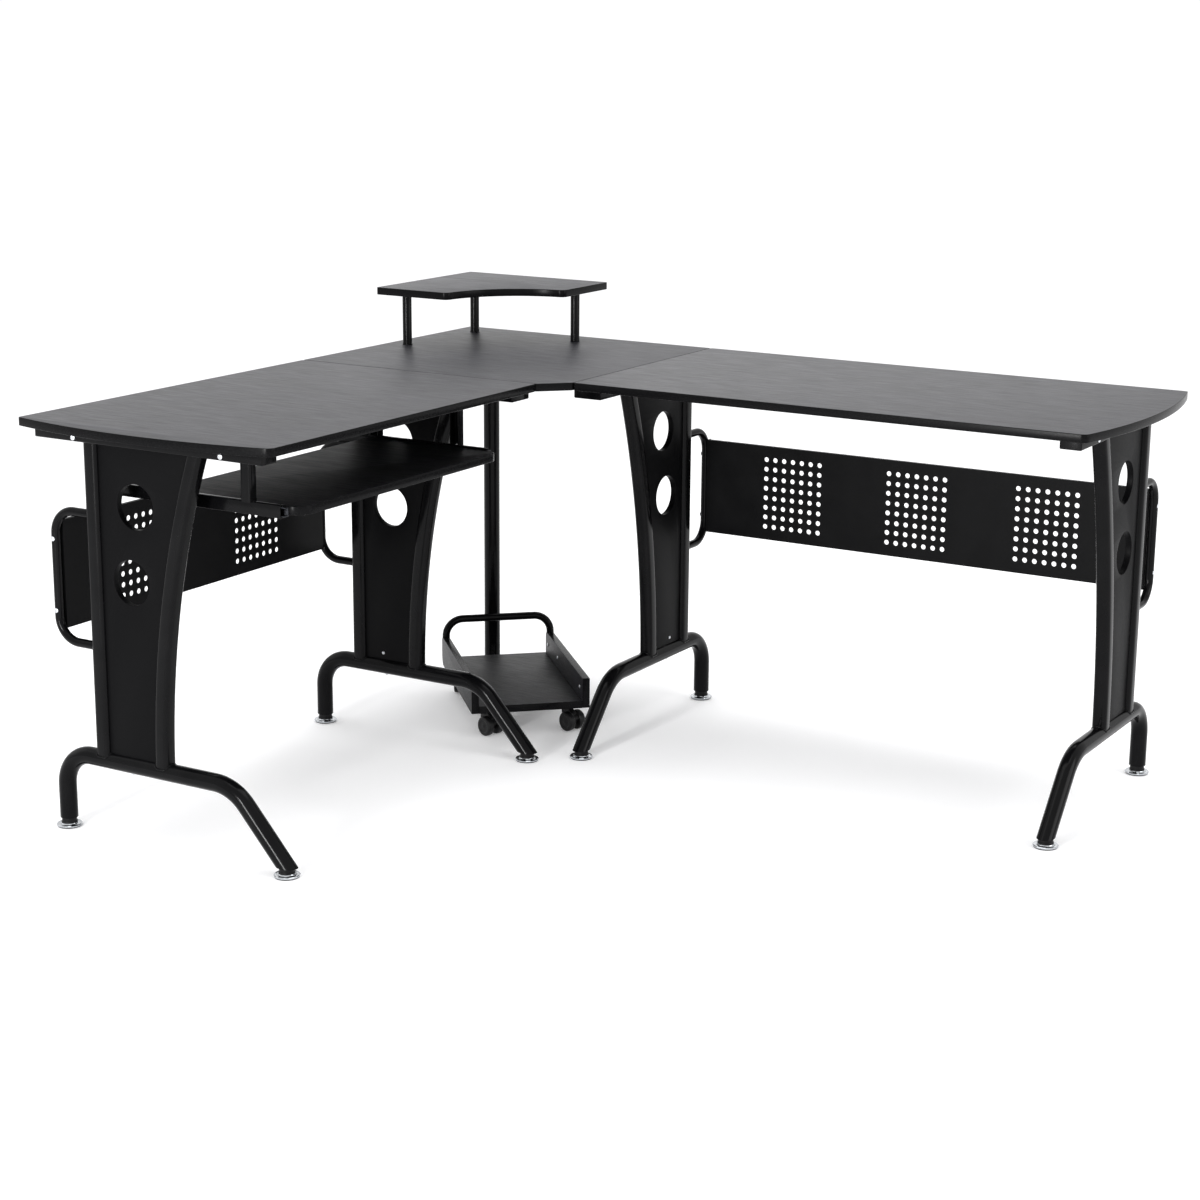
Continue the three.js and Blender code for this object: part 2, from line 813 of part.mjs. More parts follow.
function addCornerPost() {
  const radius = postDiameter / 2;
  const plateRadius = postPlateDiameter / 2;
  const top = boardUnderside - gap;
  const post = turned([
    [0, 0],
    [padDiameter / 2, 0],
    [padDiameter / 2, padHeight - padBevelHeight],
    [padDiameter / 2 - padBevelAcross, padHeight],
    [hubDiameter / 2, padHeight],
    [hubDiameter / 2, footEndHeight],
    [radius, footEndHeight],
    [radius, top - postPlateHeight],
    [plateRadius, top - postPlateHeight],
    [plateRadius, top],
    [0, top]
  ], 14);
  const [x, y] = postSpot;
  addPiece(fromCorner, "corner_post", post, satinBlack, [x, -y, 0]);
}

// Tower stand: local X from its back end to its front end, local Y across it

function buildStandSide() {
  const half = standLength / 2;
  const bottom = standFloor - standBoardThickness;
  const top = standFloor + standSideRise;
  const side = plate(roundedOutline([
    corner(-half, bottom, standBackCorner),
    corner(half, bottom, standFrontCorner),
    corner(half, top, standFrontCorner),
    corner(-half, top, standBackCorner / 2)
  ]), standSideThickness, 4);
  side.translate(0, 0, -standSideThickness / 2);
  side.rotateX(Math.PI / 2);
  return side;
}

function buildStandBase() {
  const half = standLength / 2;
  const halfWidth = standInnerWidth / 2 - gap;
  const bottom = standFloor - standBoardThickness;
  let base = solidFrom(box(-half, half, -halfWidth, halfWidth, bottom, standFloor));
  casterSpots().forEach(({ along, across }) => {
    const bore = uprightCylinder(
      casterStemDiameter / 2 + stemClearance,
      bottom - 1,
      casterStemTop + stemClearance,
      12
    );
    bore.translate(along, across, 0);
    base = base.subtract(solidFrom(bore));
  });
  return geometryFrom(base);
}

function buildHandle() {
  const reach = (standInnerWidth + standSideThickness) / 2;
  const foot = standFloor + standSideRise + gap;
  const bend = handleRise - foot - handleStraight;
  const path = roundedPath(
    [[-reach, foot], [-reach, handleRise], [reach, handleRise], [reach, foot]],
    [bend, bend],
    4
  );
  const loop = sweptBar(path, roundSection(handleTube / 2, 10));
  loop.rotateZ(Math.PI / 2);
  loop.translate(-standLength / 2 + handleInset, 0, 0);
  return loop;
}

function casterSpots() {
  const along = standLength / 2 - casterInsetAlong;
  const across = standInnerWidth / 2 - casterInsetAcross;
  return [
    { name: "front_left", along, across: -across, turn: frontCasterTurn },
    { name: "front_right", along, across, turn: frontCasterTurn },
    { name: "back_left", along: -along, across: -across, turn: backCasterTurn },
    { name: "back_right", along: -along, across, turn: backCasterTurn }
  ];
}

// Caster body: a web between the wheels, a hub above them and the swivel stem
function buildCasterBody() {
  const wheelRadius = wheelDiameter / 2;
  const hubRadius = casterHubDiameter / 2;
  const web = new THREE.Shape(webProfile.map(([reach, height]) => new THREE.Vector2(reach, height)));
  const slab = plate(web, webThickness, 1);
  slab.translate(0, 0, -webThickness / 2);
  slab.rotateX(Math.PI / 2);
  const bore = uprightCylinder(axleDiameter / 2 + axleClearance, -webThickness, webThickness, 10);
  bore.rotateX(Math.PI / 2);
  bore.translate(casterTrail, 0, wheelRadius);
  const hub = turned([
    [0, wheelDiameter + wheelTopClearance],
    [hubRadius, wheelDiameter + wheelTopClearance],
    [hubRadius, casterHubTop],
    [casterStemDiameter / 2, casterHubTop],
    [casterStemDiameter / 2, casterStemTop],
    [0, casterStemTop]
  ], 12);
  return geometryFrom(solidFrom(slab).subtract(solidFrom(bore)).add(solidFrom(hub)));
}

function buildWheelPair() {
  const radius = wheelDiameter / 2;
  const axle = axleDiameter / 2;
  const pair = turned([
    [0, -wheelOuter],
    [radius - wheelBevelAcross, -wheelOuter],
    [radius, -wheelOuter + wheelBevelAlong],
    [radius, -wheelInner],
    [axle, -wheelInner],
    [axle, wheelInner],
    [radius, wheelInner],
    [radius, wheelOuter - wheelBevelAlong],
    [radius - wheelBevelAcross, wheelOuter],
    [0, wheelOuter]
  ], 16);
  pair.rotateX(Math.PI / 2);
  return pair;
}

function addTowerStand() {
  const reach = postDiameter / 2 + standPostGap + standLength / 2;
  const turn = THREE.MathUtils.degToRad(standTurnDegrees);
  const x = postSpot[0] + reach * Math.cos(turn);
  const y = -postSpot[1] + reach * Math.sin(turn);
  const stand = addGroup(fromCorner, [x, y, 0], standTurnDegrees);
  const sideShift = (standInnerWidth + standSideThickness) / 2;
  const side = buildStandSide();
  addPiece(stand, "stand_base", buildStandBase(), panelBlack);
  addPiece(stand, "stand_side_left", side, panelBlack, [0, -sideShift, 0]);
  addPiece(stand, "stand_side_right", side, panelBlack, [0, sideShift, 0]);
  addPiece(stand, "stand_handle", buildHandle(), satinBlack);
  const body = buildCasterBody();
  const wheels = buildWheelPair();
  casterSpots().forEach(({ name, along, across, turn }) => {
    const caster = addGroup(stand, [along, across, 0], turn);
    addPiece(caster, `caster_${name}`, body, rubberBlack);
    addPiece(caster, `caster_wheels_${name}`, wheels, rubberBlack, [casterTrail, 0, wheelDiameter / 2]);
  });
}

addBoards();
addShelfPosts();
addLegs();
addBackPanels();
addKeyboardTray();
addCornerPost();
addTowerStand();

export default desk;
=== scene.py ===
import math

import bmesh
import bpy
import numpy as np
from mathutils import Matrix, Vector
from mathutils.geometry import tessellate_polygon


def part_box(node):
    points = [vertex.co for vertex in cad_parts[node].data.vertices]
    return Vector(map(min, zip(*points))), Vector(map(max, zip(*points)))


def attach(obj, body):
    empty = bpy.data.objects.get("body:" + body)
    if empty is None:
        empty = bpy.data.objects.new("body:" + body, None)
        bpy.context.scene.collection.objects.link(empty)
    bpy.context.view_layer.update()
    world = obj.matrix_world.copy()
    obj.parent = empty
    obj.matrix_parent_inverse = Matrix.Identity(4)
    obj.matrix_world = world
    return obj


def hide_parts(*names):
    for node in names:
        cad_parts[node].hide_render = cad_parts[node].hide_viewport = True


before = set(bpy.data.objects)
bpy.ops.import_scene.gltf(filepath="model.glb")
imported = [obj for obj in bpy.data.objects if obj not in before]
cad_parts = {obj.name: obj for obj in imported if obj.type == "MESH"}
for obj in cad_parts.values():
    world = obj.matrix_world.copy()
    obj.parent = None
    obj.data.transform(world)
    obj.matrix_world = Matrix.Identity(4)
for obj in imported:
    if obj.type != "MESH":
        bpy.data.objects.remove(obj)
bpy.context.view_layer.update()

# L-shaped computer desk: black wood-grain boards on bent steel legs, with a keyboard tray,
# a raised corner shelf and a rolling tower stand. Metres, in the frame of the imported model;
# sizes in the dictionaries are millimetres.
mm = 0.001
tau = 2 * math.pi


def linear(hexColour):
    # sRGB to linear: the low end is divided by 12.92, the rest follows the 2.4 power
    srgb = np.array([int(hexColour[i:i + 2], 16) for i in (1, 3, 5)]) / 255
    rgb = np.where(srgb <= 0.04045, srgb / 12.92, ((srgb + 0.055) / 1.055) ** 2.4)
    return (*rgb.tolist(), 1.0)


def addNode(tree, kind, sockets=None, **settings):
    # a socket's entry is either its number or colour, or the output that feeds it
    node = tree.nodes.new(kind)
    for name, value in settings.items():
        setattr(node, name, value)
    for key, value in (sockets or {}).items():
        if isinstance(value, bpy.types.NodeSocket):
            tree.links.new(value, node.inputs[key])
        else:
            node.inputs[key].default_value = value
    return node


def startMaterial(name, **fixed):
    finish = bpy.data.materials.new(name)
    finish.use_nodes = True
    tree = finish.node_tree
    shader = tree.nodes["Principled BSDF"]
    for key, value in fixed.items():
        shader.inputs[key.replace("_", " ")].default_value = value
    return finish, tree, shader


def objectPattern(tree, size):
    # object coordinates divided by the pattern's real size, in millimetres, along each axis
    place = addNode(tree, "ShaderNodeTexCoord").outputs["Object"]
    scale = [1 / (s * mm) for s in size]
    return addNode(tree, "ShaderNodeMapping", {0: place, "Scale": scale}).outputs[0]


def noiseOn(tree, vector, detail=3.0, rough=0.5):
    sockets = {"Vector": vector, "Scale": 1.0, "Detail": detail, "Roughness": rough}
    return addNode(tree, "ShaderNodeTexNoise", sockets).outputs[0]


def between(tree, factor, low, high, start=0.35, end=0.65):
    # number between low and high as the factor goes from start to end
    return addNode(tree, "ShaderNodeMapRange", {0: factor, 1: start, 2: end, 3: low, 4: high}).outputs[0]


def shades(tree, factor, dark, light, start=0.35, end=0.65):
    ramp = addNode(tree, "ShaderNodeValToRGB", {0: factor})
    ramp.color_ramp.elements[0].position = start
    ramp.color_ramp.elements[0].color = linear(dark)
    ramp.color_ramp.elements[1].position = end
    ramp.color_ramp.elements[1].color = linear(light)
    return ramp.outputs[0]


def reliefOn(tree, height, depth, under=None):
    # bump whose height is depth millimetres at full factor
    sockets = {"Height": height, "Strength": 1.0, "Distance": depth * mm}
    if under is not None:
        sockets["Normal"] = under
    return addNode(tree, "ShaderNodeBump", sockets).outputs[0]


def feedShader(tree, shader, colour, roughness, normal):
    for key, output in (("Base Color", colour), ("Roughness", roughness), ("Normal", normal)):
        tree.links.new(output, shader.inputs[key])


print("stage: materials")


def woodGrainMelamine(name, along, across, dark, light, roughness, gloss=0.5):
    # melamine-faced chipboard, pressed against an engraved plate: a hard, slightly glossy skin
    # with fine wood streaks and short sunk pores, so it reads grey wherever light grazes it
    finish, tree, shader = startMaterial(name, IOR=1.5, Metallic=0.0, Specular_IOR_Level=gloss)
    streaks = noiseOn(tree, objectPattern(tree, (along, across, across)), 4.0, 0.6)
    figure = noiseOn(tree, objectPattern(tree, (along * 2.5, across * 9, across * 4)), 2.0)
    poreScale = [max(size / 3.5, 1.1) for size in (along, across, across)]
    pores = noiseOn(tree, objectPattern(tree, poreScale), 2.0)
    both = addNode(tree, "ShaderNodeMath", {0: streaks, 1: figure}, operation="ADD").outputs[0]
    half = addNode(tree, "ShaderNodeMath", {0: both, 1: 0.5}, operation="MULTIPLY").outputs[0]
    colour = shades(tree, half, dark, light, 0.38, 0.62)
    worn = between(tree, streaks, roughness + 0.07, roughness - 0.05)
    sunk = reliefOn(tree, between(tree, pores, 0, 1, 0.3, 0.5), 0.05)
    feedShader(tree, shader, colour, worn, reliefOn(tree, streaks, 0.12, sunk))
    return finish


def powderCoatedSteel(name, peel, dark, light, roughness, gloss):
    # tube and sheet steel, sprayed with black polyester powder and baked: an even satin film
    # with the faint dimples of orange peel and a little variation in gloss
    finish, tree, shader = startMaterial(name, IOR=1.5, Metallic=0.0, Specular_IOR_Level=gloss)
    dimples = noiseOn(tree, objectPattern(tree, (peel, peel, peel)), 2.0)
    clouds = noiseOn(tree, objectPattern(tree, (60, 60, 60)), 3.0)
    cloudy = between(tree, clouds, roughness - 0.03, roughness + 0.04)
    feedShader(tree, shader, shades(tree, clouds, dark, light), cloudy, reliefOn(tree, dimples, 0.025))
    return finish


def platedMetal(name, colour, roughness, grain, depth):
    # metal-coated steel: colour from the metal itself, with faint polishing or drawing marks
    finish, tree, shader = startMaterial(name, Metallic=1.0)
    marks = noiseOn(tree, objectPattern(tree, grain), 3.0)
    worn = between(tree, marks, roughness * 0.8, roughness * 1.3)
    feedShader(tree, shader, shades(tree, marks, *colour), worn, reliefOn(tree, marks, depth))
    return finish


def mouldedPlastic(name, texture, dark, light, roughness, gloss):
    # injection-moulded plastic: the spark-eroded mould leaves a fine matt grain
    finish, tree, shader = startMaterial(name, IOR=1.49, Metallic=0.0, Specular_IOR_Level=gloss)
    grain = noiseOn(tree, objectPattern(tree, (texture, texture, texture)), 2.0)
    matt = between(tree, grain, roughness - 0.04, roughness + 0.05)
    feedShader(tree, shader, shades(tree, grain, dark, light), matt, reliefOn(tree, grain, 0.03))
    return finish


# streaks about 60 mm long and 3 mm wide, drawn a little coarser than the real ones to show
deskTopMelamine = woodGrainMelamine("blackWoodGrainMelamine", 60, 3.2, "#1a1a1f", "#28282e", 0.46)
standMelamine = woodGrainMelamine("blackWoodGrainMelamineStand", 45, 3.2, "#101013", "#1a1a1d", 0.48, 0.18)
# the keyboard tray's melamine is a darker, less glossy copy of the desk-top melamine: painted shade for the
# tray's deep shadow under the desk top
trayMelamineShadedCopy = woodGrainMelamine("blackWoodGrainMelamineTrayPaintedShade", 60, 3.2, "#0b0b0c", "#111113", 0.46, 0.08)
# ironed-on ABS band, 1 mm thick, scraped flush: smoother and glossier than the board's face
edgeBand = mouldedPlastic("absEdgeBand", 2.5, "#09090a", "#0e0e0f", 0.24, 0.06)
# plain melamine on the leg panels, with a fine pearl texture of about 1 mm, drawn at 1.6
panelMelamine = mouldedPlastic("blackMelamineLegPanel", 1.6, "#070708", "#0b0b0c", 0.42, 0.045)
powderCoat = powderCoatedSteel("blackPowderCoatedTube", 1.8, "#070708", "#0b0b0c", 0.15, 0.09)
sheetCoat = powderCoatedSteel("blackPowderCoatedSheet", 1.8, "#080809", "#0c0c0d", 0.4, 0.06)
# polished chrome over steel: a near mirror with hairline polish
chromePlate = platedMetal("polishedChrome", ("#a9acb0", "#c2c5c8"), 0.09, (4, 4, 1.2), 0.004)
# bright zinc on screws: soft, slightly blue-white
zincPlate = platedMetal("brightZincPlate", ("#c9ccd0", "#e2e4e7"), 0.3, (1.2, 1.2, 1.2), 0.01)
# dark zinc on the drawn tray slides, with marks along the drawing direction
slideZinc = platedMetal("blackZincSlide", ("#2c2d30", "#3d3e42"), 0.3, (40, 1.5, 1.5), 0.01)
nylon = mouldedPlastic("blackNylonCaster", 1.5, "#0e0e0f", "#141415", 0.38, 0.2)
plugPlastic = mouldedPlastic("blackPolythenePlug", 1.8, "#0b0b0c", "#101011", 0.5, 0.15)

print("stage: mesh helpers")


def gridQuads(rows, columns, closeRows=False, closeColumns=False):
    # quads of a grid of points numbered row by row; a closed side joins its last line to its first
    row = np.arange(rows if closeRows else rows - 1)[:, None]
    column = np.arange(columns if closeColumns else columns - 1)[None, :]
    nextRow = (row + 1) % rows
    nextColumn = (column + 1) % columns
    corners = ((row, column), (row, nextColumn), (nextRow, nextColumn), (nextRow, column))
    quads = np.broadcast_arrays(*(r * columns + c for r, c in corners))
    return np.stack(quads, -1).reshape(-1, 4)


def tubeFaces(rows, columns):
    # quads between the rings of a tube, and one face over each of its ends
    ends = [list(range(columns)), list(range((rows - 1) * columns, rows * columns))]
    return gridQuads(rows, columns, closeColumns=True).tolist() + ends


def shell(points, faces, surface=0):
    # one closed surface: its points, faces and the number of its material on the piece
    return np.asarray(points, float).reshape(-1, 3), [list(map(int, face)) for face in faces], surface


def addObject(name, data):
    thing = bpy.data.objects.new(name, data)
    bpy.context.scene.collection.objects.link(thing)
    return thing


def makePiece(name, shells, finishes, body, replaced):
    # edges sharper than 35 degrees stay hard; the rest is shaded smooth
    points, faces, surfaces, first = [], [], [], 0
    for shellPoints, shellFaces, surface in shells:
        points.append(shellPoints)
        faces += [[first + i for i in face] for face in shellFaces]
        surfaces += list(surface) if np.iterable(surface) else [surface] * len(shellFaces)
        first += len(shellPoints)
    mesh = bpy.data.meshes.new(name)
    mesh.from_pydata(np.vstack(points).tolist(), [], faces)
    for finish in finishes:
        mesh.materials.append(finish)
    mesh.polygons.foreach_set("material_index", surfaces)
    piece = addObject(name, mesh)
    work = bmesh.new()
    work.from_mesh(mesh)
    bmesh.ops.remove_doubles(work, verts=work.verts, dist=2e-6)
    bmesh.ops.dissolve_degenerate(work, edges=work.edges, dist=1e-7)
    bmesh.ops.recalc_face_normals(work, faces=work.faces)
    work.to_mesh(mesh)
    work.free()
    mesh.shade_smooth()
    mesh.set_sharp_from_angle(angle=math.radians(35))
    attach(piece, body)
    if replaced:
        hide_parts(*replaced)


def placed(points, place):
    # points in a piece's own millimetres, carried to the desk by (origin, x, y, z directions)
    origin, axes = place
    return np.asarray(points, float) * mm @ axes + origin


def axesOf(x, y, z):
    return np.array([x, y, z], float)


def unit(vectors):
    return vectors / np.linalg.norm(vectors, axis=-1, keepdims=True)


def turnedShell(profile, place, segments=48, surface=0):
    # a profile of (radius, height) turned about the height axis: x = r cos a, y = r sin a
    profile = np.asarray(profile, float)
    angle = np.arange(segments) * tau / segments
    radius = profile[:, :1]
    x, y = radius * np.cos(angle), radius * np.sin(angle)
    z = np.broadcast_to(profile[:, 1:], x.shape)
    faces = gridQuads(len(profile), segments, closeColumns=True)
    return shell(placed(np.stack([x, y, z], -1).reshape(-1, 3), place), faces, surface)


def rounded(profile, radius, steps=3):
    # an open line of points whose inner corners become arcs of at most that radius
    profile = np.asarray(profile, float)
    pieces = [profile[:1]]
    for before, here, after in zip(profile[:-2], profile[1:-1], profile[2:]):
        pieces.append(filletCorner(before, here, after, radius, steps))
    return np.vstack(pieces + [profile[-1:]])


def filletCorner(before, here, after, radius, steps):
    # the arc tangent to both sides of a corner, shortened where a side has no room for it
    before, here, after = (np.asarray(p, float) for p in (before, here, after))
    if radius <= 0:
        return here[None]
    a, b = before - here, after - here
    lengthA, lengthB = np.linalg.norm(a), np.linalg.norm(b)
    a, b = a / lengthA, b / lengthB
    half = math.acos(np.clip(a @ b, -1, 1)) / 2
    if half > math.pi / 2 - 0.02:
        return here[None]
    reach = min(radius / math.tan(half), 0.49 * lengthA, 0.49 * lengthB)
    radius = reach * math.tan(half)
    centre = here + unit(a + b) * radius / math.sin(half)
    start, end = here + a * reach - centre, here + b * reach - centre
    sweep = math.atan2(start[0] * end[1] - start[1] * end[0], start @ end)
    turn = sweep * np.linspace(0, 1, steps + 1)
    x = start[0] * np.cos(turn) - start[1] * np.sin(turn)
    y = start[0] * np.sin(turn) + start[1] * np.cos(turn)
    return centre + np.stack([x, y], -1)


def roundedLoop(corners, steps=6):
    # a closed outline from (x, y, radius) corners
    points = [corner[:2] for corner in corners]
    arcs = []
    for i, (x, y, radius) in enumerate(corners):
        arcs.append(filletCorner(points[i - 1], (x, y), points[(i + 1) % len(points)], radius, steps))
    return np.vstack(arcs)


def bowedEdge(start, end, depth, steps):
    # inner points of the circular arc over a chord; it bulges to the right of its direction
    start, end = np.asarray(start, float), np.asarray(end, float)
    half = np.linalg.norm(end - start) / 2
    along = (end - start) / (2 * half)
    side = np.array([along[1], -along[0]]) * math.copysign(1, depth)
    radius = (half ** 2 + depth ** 2) / (2 * abs(depth))
    distance = half * np.linspace(-1, 1, steps + 1)[1:-1]
    lift = np.sqrt(radius ** 2 - distance ** 2) - (radius - abs(depth))
    return (start + end) / 2 + distance[:, None] * along + lift[:, None] * side


def bowWithCorners(before, start, end, after, depth, steps, radii):
    # the arc over a chord with a rounded corner at each end; arc points inside a corner are left out
    start, end = np.asarray(start, float), np.asarray(end, float)
    arc = bowedEdge(start, end, depth, steps)
    fromStart = np.linalg.norm(arc - start, axis=1) > 1.25 * radii[0]
    fromEnd = np.linalg.norm(arc - end, axis=1) > 1.25 * radii[1]
    kept = arc[fromStart & fromEnd]
    aimStart = start + unit(kept[0] - start) * 4 * radii[0]
    aimEnd = end + unit(kept[-1] - end) * 4 * radii[1]
    return np.vstack([
        filletCorner(before, start, aimStart, radii[0], 8),
        kept,
        filletCorner(aimEnd, end, after, radii[1], 8),
    ])


def inwardShift(loop):
    # for each point of an anticlockwise loop, the mitred step of one unit to its left
    before = unit(loop - np.roll(loop, 1, 0))
    after = unit(np.roll(loop, -1, 0) - loop)
    normalBefore = np.stack([-before[:, 1], before[:, 0]], -1)
    normalAfter = np.stack([-after[:, 1], after[:, 0]], -1)
    middle = unit(normalBefore + normalAfter)
    return middle / np.maximum((middle * normalBefore).sum(-1, keepdims=True), 0.35)


def plateShell(outline, holes, thickness, edgeRadius, place, capSurface=0, sideSurface=0, edgeSteps=3):
    # a flat plate: an edge profile carried round the outline and each hole, from the lower face
    # to the upper one, and the two faces filled between the loops
    turn = np.linspace(0, math.pi / 2, edgeSteps + 1)
    low = np.stack([edgeRadius * (1 - np.sin(turn)), edgeRadius * (1 - np.cos(turn))], -1)
    high = np.stack([low[::-1, 0], thickness - low[::-1, 1]], -1)
    profile = np.vstack([low, high]) if edgeRadius > 0 else np.array([[0, 0], [0, thickness]], float)
    points, faces, surfaces, bottoms, tops, first = [], [], [], [], [], 0
    for number, loop in enumerate([outline, *holes]):
        area = (loop[:, 0] * np.roll(loop[:, 1], -1) - loop[:, 1] * np.roll(loop[:, 0], -1)).sum()
        if (area > 0) != (number == 0):
            loop = loop[::-1]
        shift = inwardShift(loop)
        flat = loop[None] + profile[:, :1, None] * shift[None]
        height = np.broadcast_to(profile[:, 1:, None], flat.shape[:2] + (1,))
        points.append(np.concatenate([flat, height], -1).reshape(-1, 3))
        sides = gridQuads(len(profile), len(loop), closeColumns=True) + first
        faces += sides.tolist()
        surfaces += [sideSurface] * len(sides)
        bottoms.append(np.arange(len(loop)) + first)
        tops.append(np.arange(len(loop)) + first + (len(profile) - 1) * len(loop))
        first += len(profile) * len(loop)
    points = np.vstack(points)
    for rings in (bottoms, tops):
        numbers = np.concatenate(rings)
        fill = tessellate_polygon([[(*points[i, :2], 0) for i in ring] for ring in rings])
        faces += [[int(numbers[i]) for i in triangle] for triangle in fill]
        surfaces += [capSurface] * len(fill)
    return shell(placed(points, place), faces, surfaces)


def circleLoop(centre, radius, segments):
    angle = np.arange(segments) * tau / segments
    return np.asarray(centre, float) + radius * np.stack([np.cos(angle), np.sin(angle)], -1)


def sectionLoop(along, across, corner, steps=5):
    x, y = along / 2, across / 2
    return roundedLoop([(x, -y, corner), (x, y, corner), (-x, y, corner), (-x, -y, corner)], steps)


def carriedShell(path, section, place, endLevels=(None, None)):
    # a closed section carried along a path in the x-z plane: each ring stands square to the
    # path; a ring at an end may be slid along the path's direction to a level, for a level cut
    path = np.asarray(path, float)
    tangent = unit(np.gradient(path, axis=0))
    tangent[0], tangent[-1] = unit(path[1] - path[0]), unit(path[-1] - path[-2])
    normal = np.stack([-tangent[:, 1], tangent[:, 0]], -1)
    flat = path[:, None] + section[None, :, :1] * normal[:, None]
    across = np.broadcast_to(section[None, :, 1], flat.shape[:2])
    rings = np.stack([flat[..., 0], across, flat[..., 1]], -1)
    for end, level in zip((0, -1), endLevels):
        if level is not None:
            slide = (level(rings[end]) if callable(level) else level) - rings[end][:, 2]
            heading = np.array([tangent[end, 0], 0, tangent[end, 1]])
            rings[end] += (slide / heading[2])[:, None] * heading
    return shell(placed(rings.reshape(-1, 3), place), tubeFaces(len(path), len(section)))


def roundSection(radius, segments=28):
    return circleLoop((0, 0), radius, segments)


def denser(path, step):
    # the same line with points no further apart than step
    path = np.asarray(path, float)
    pieces = [path[:1]]
    for a, b in zip(path[:-1], path[1:]):
        count = max(int(math.ceil(np.linalg.norm(b - a) / step)), 1)
        pieces.append(a + (b - a) * (np.arange(1, count + 1) / count)[:, None])
    return np.vstack(pieces)


def boxOf(node):
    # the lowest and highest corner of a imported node, in millimetres
    low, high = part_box(node)
    return np.array(low) / mm, np.array(high) / mm


uprightAxes = axesOf((1, 0, 0), (0, 1, 0), (0, 0, 1))


def acrossAxes(side):
    # directions of what faces sideways: its own z points along y, to the side given by the sign
    return (1, 0, 0), (0, 0, -side), (0, side, 0)


def standingOn(node, level, axes=uprightAxes):
    # a place above or below the middle of a node's box, at a level in millimetres
    low, high = boxOf(node)
    return np.array([*(low + high)[:2] / 2, level]) * mm, axes


# the wings' back edges and the plane of each leg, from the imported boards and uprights
backX = boxOf("top_corner_board")[0][0]
backY, topLevel = boxOf("top_corner_board")[1][1:]


def wingPlace(wing, distance):
    # x runs from the wing's back edge towards the user, y along the wing, z up; distance is
    # the coordinate, along the wing, of the plane where y is nought
    if wing == "left":
        return np.array([backX, distance, 0]) * mm, uprightAxes
    return np.array([distance, backY, 0]) * mm, axesOf((0, -1, 0), (1, 0, 0), (0, 0, 1))


def shifted(place, offset, axes=((1, 0, 0), (0, 1, 0), (0, 0, 1))):
    # a place given in another place's own directions
    origin, outer = place
    return origin + np.asarray(offset, float) * mm @ outer, axesOf(*axes) @ outer


legNames = ("left_end", "left_inner", "right_inner", "right_end")
legPlaces = {}
for leg in legNames:
    low, high = boxOf(leg + "_rear_upright")
    wing = leg.split("_")[0]
    legPlaces[leg] = wingPlace(wing, (low + high)[1 if wing == "left" else 0] / 2)
# the side of each leg that faces away from the desk's middle
outerSide = {"left_end": -1, "left_inner": 1, "right_inner": -1, "right_end": 1}

print("stage: boards")
boardSizes = {
    "edge": 1.1, "backCorner": 6, "frontCorner": 14, "bow": 34,
    "shelfArm": 177, "shelfArc": 47, "shelfCorner": 14, "trayCorner": 30,
}


def levelBoard(name, outline, node, body="desk_frame", finish=deskTopMelamine):
    # a board whose outline is given in the desk's own x and y, on its packed level
    low, high = boxOf(node)
    place = np.array([0, 0, low[2]]) * mm, uprightAxes
    board = plateShell(outline, [], high[2] - low[2], boardSizes["edge"], place, 0, 1)
    makePiece(name, [board], [finish, edgeBand], body, [node])


def bowedTop(seamEnd, bowStart, bowEnd, seamStart, radii):
    # a wing's outline: square to the corner board, and bowed at its free end
    corner = boardSizes["backCorner"]
    return np.vstack([
        filletCorner(seamStart, seamEnd, bowStart, corner, 6),
        bowWithCorners(seamEnd, bowStart, bowEnd, seamStart, boardSizes["bow"], 64, radii),
        filletCorner(bowEnd, seamStart, seamEnd, corner, 6),
    ])


def makeDeskTops():
    back, front = boardSizes["backCorner"], boardSizes["frontCorner"]
    low, high = boxOf("top_right_board")
    end = high[0] - boardSizes["bow"]
    outline = bowedTop(low[:2], (end, low[1]), (end, high[1]), (low[0], high[1]), (front, back))
    levelBoard("rightWingTop", outline, "top_right_board")
    low, high = boxOf("top_left_board")
    end = low[1] + boardSizes["bow"]
    outline = bowedTop((low[0], high[1]), (low[0], end), (high[0], end), high[:2], (back, front))
    levelBoard("leftWingTop", outline, "top_left_board")
    # the corner board, with the chamfer that joins the front edges of the two wings
    leftFront = high[0]
    rightFront = boxOf("top_right_board")[0][1]
    low, high = boxOf("top_corner_board")
    outline = roundedLoop([
        (low[0], high[1], back), (low[0], low[1], back), (leftFront, low[1], back),
        (high[0], rightFront, back), (high[0], high[1], back),
    ])
    levelBoard("cornerTop", outline, "top_corner_board")


def makeRaisedShelf():
    low, high = boxOf("shelf_board")
    back, front, arm = (boardSizes[key] for key in ("backCorner", "shelfCorner", "shelfArm"))
    left, corner, right = low[:2], (low[0], high[1]), high[:2]
    leftTip, rightTip = (low[0] + arm, low[1]), (high[0], high[1] - arm)
    outline = np.vstack([
        filletCorner(right, corner, left, back, 6),
        filletCorner(corner, left, leftTip, back, 6),
        bowWithCorners(left, leftTip, rightTip, right, -boardSizes["shelfArc"], 48, (front, front)),
        filletCorner(rightTip, right, corner, back, 6),
    ])
    levelBoard("raisedShelf", outline, "shelf_board")


def makeKeyboardShelf():
    low, high = boxOf("keyboard_tray")
    back, front = boardSizes["backCorner"], boardSizes["trayCorner"]
    outline = roundedLoop([
        (low[0], high[1], back), (low[0], low[1], back), (high[0], low[1], front), (high[0], high[1], front),
    ], 12)
    levelBoard("keyboardShelf", outline, "keyboard_tray", "keyboard_tray", trayMelamineShadedCopy)


makeDeskTops()
makeRaisedShelf()
makeKeyboardShelf()

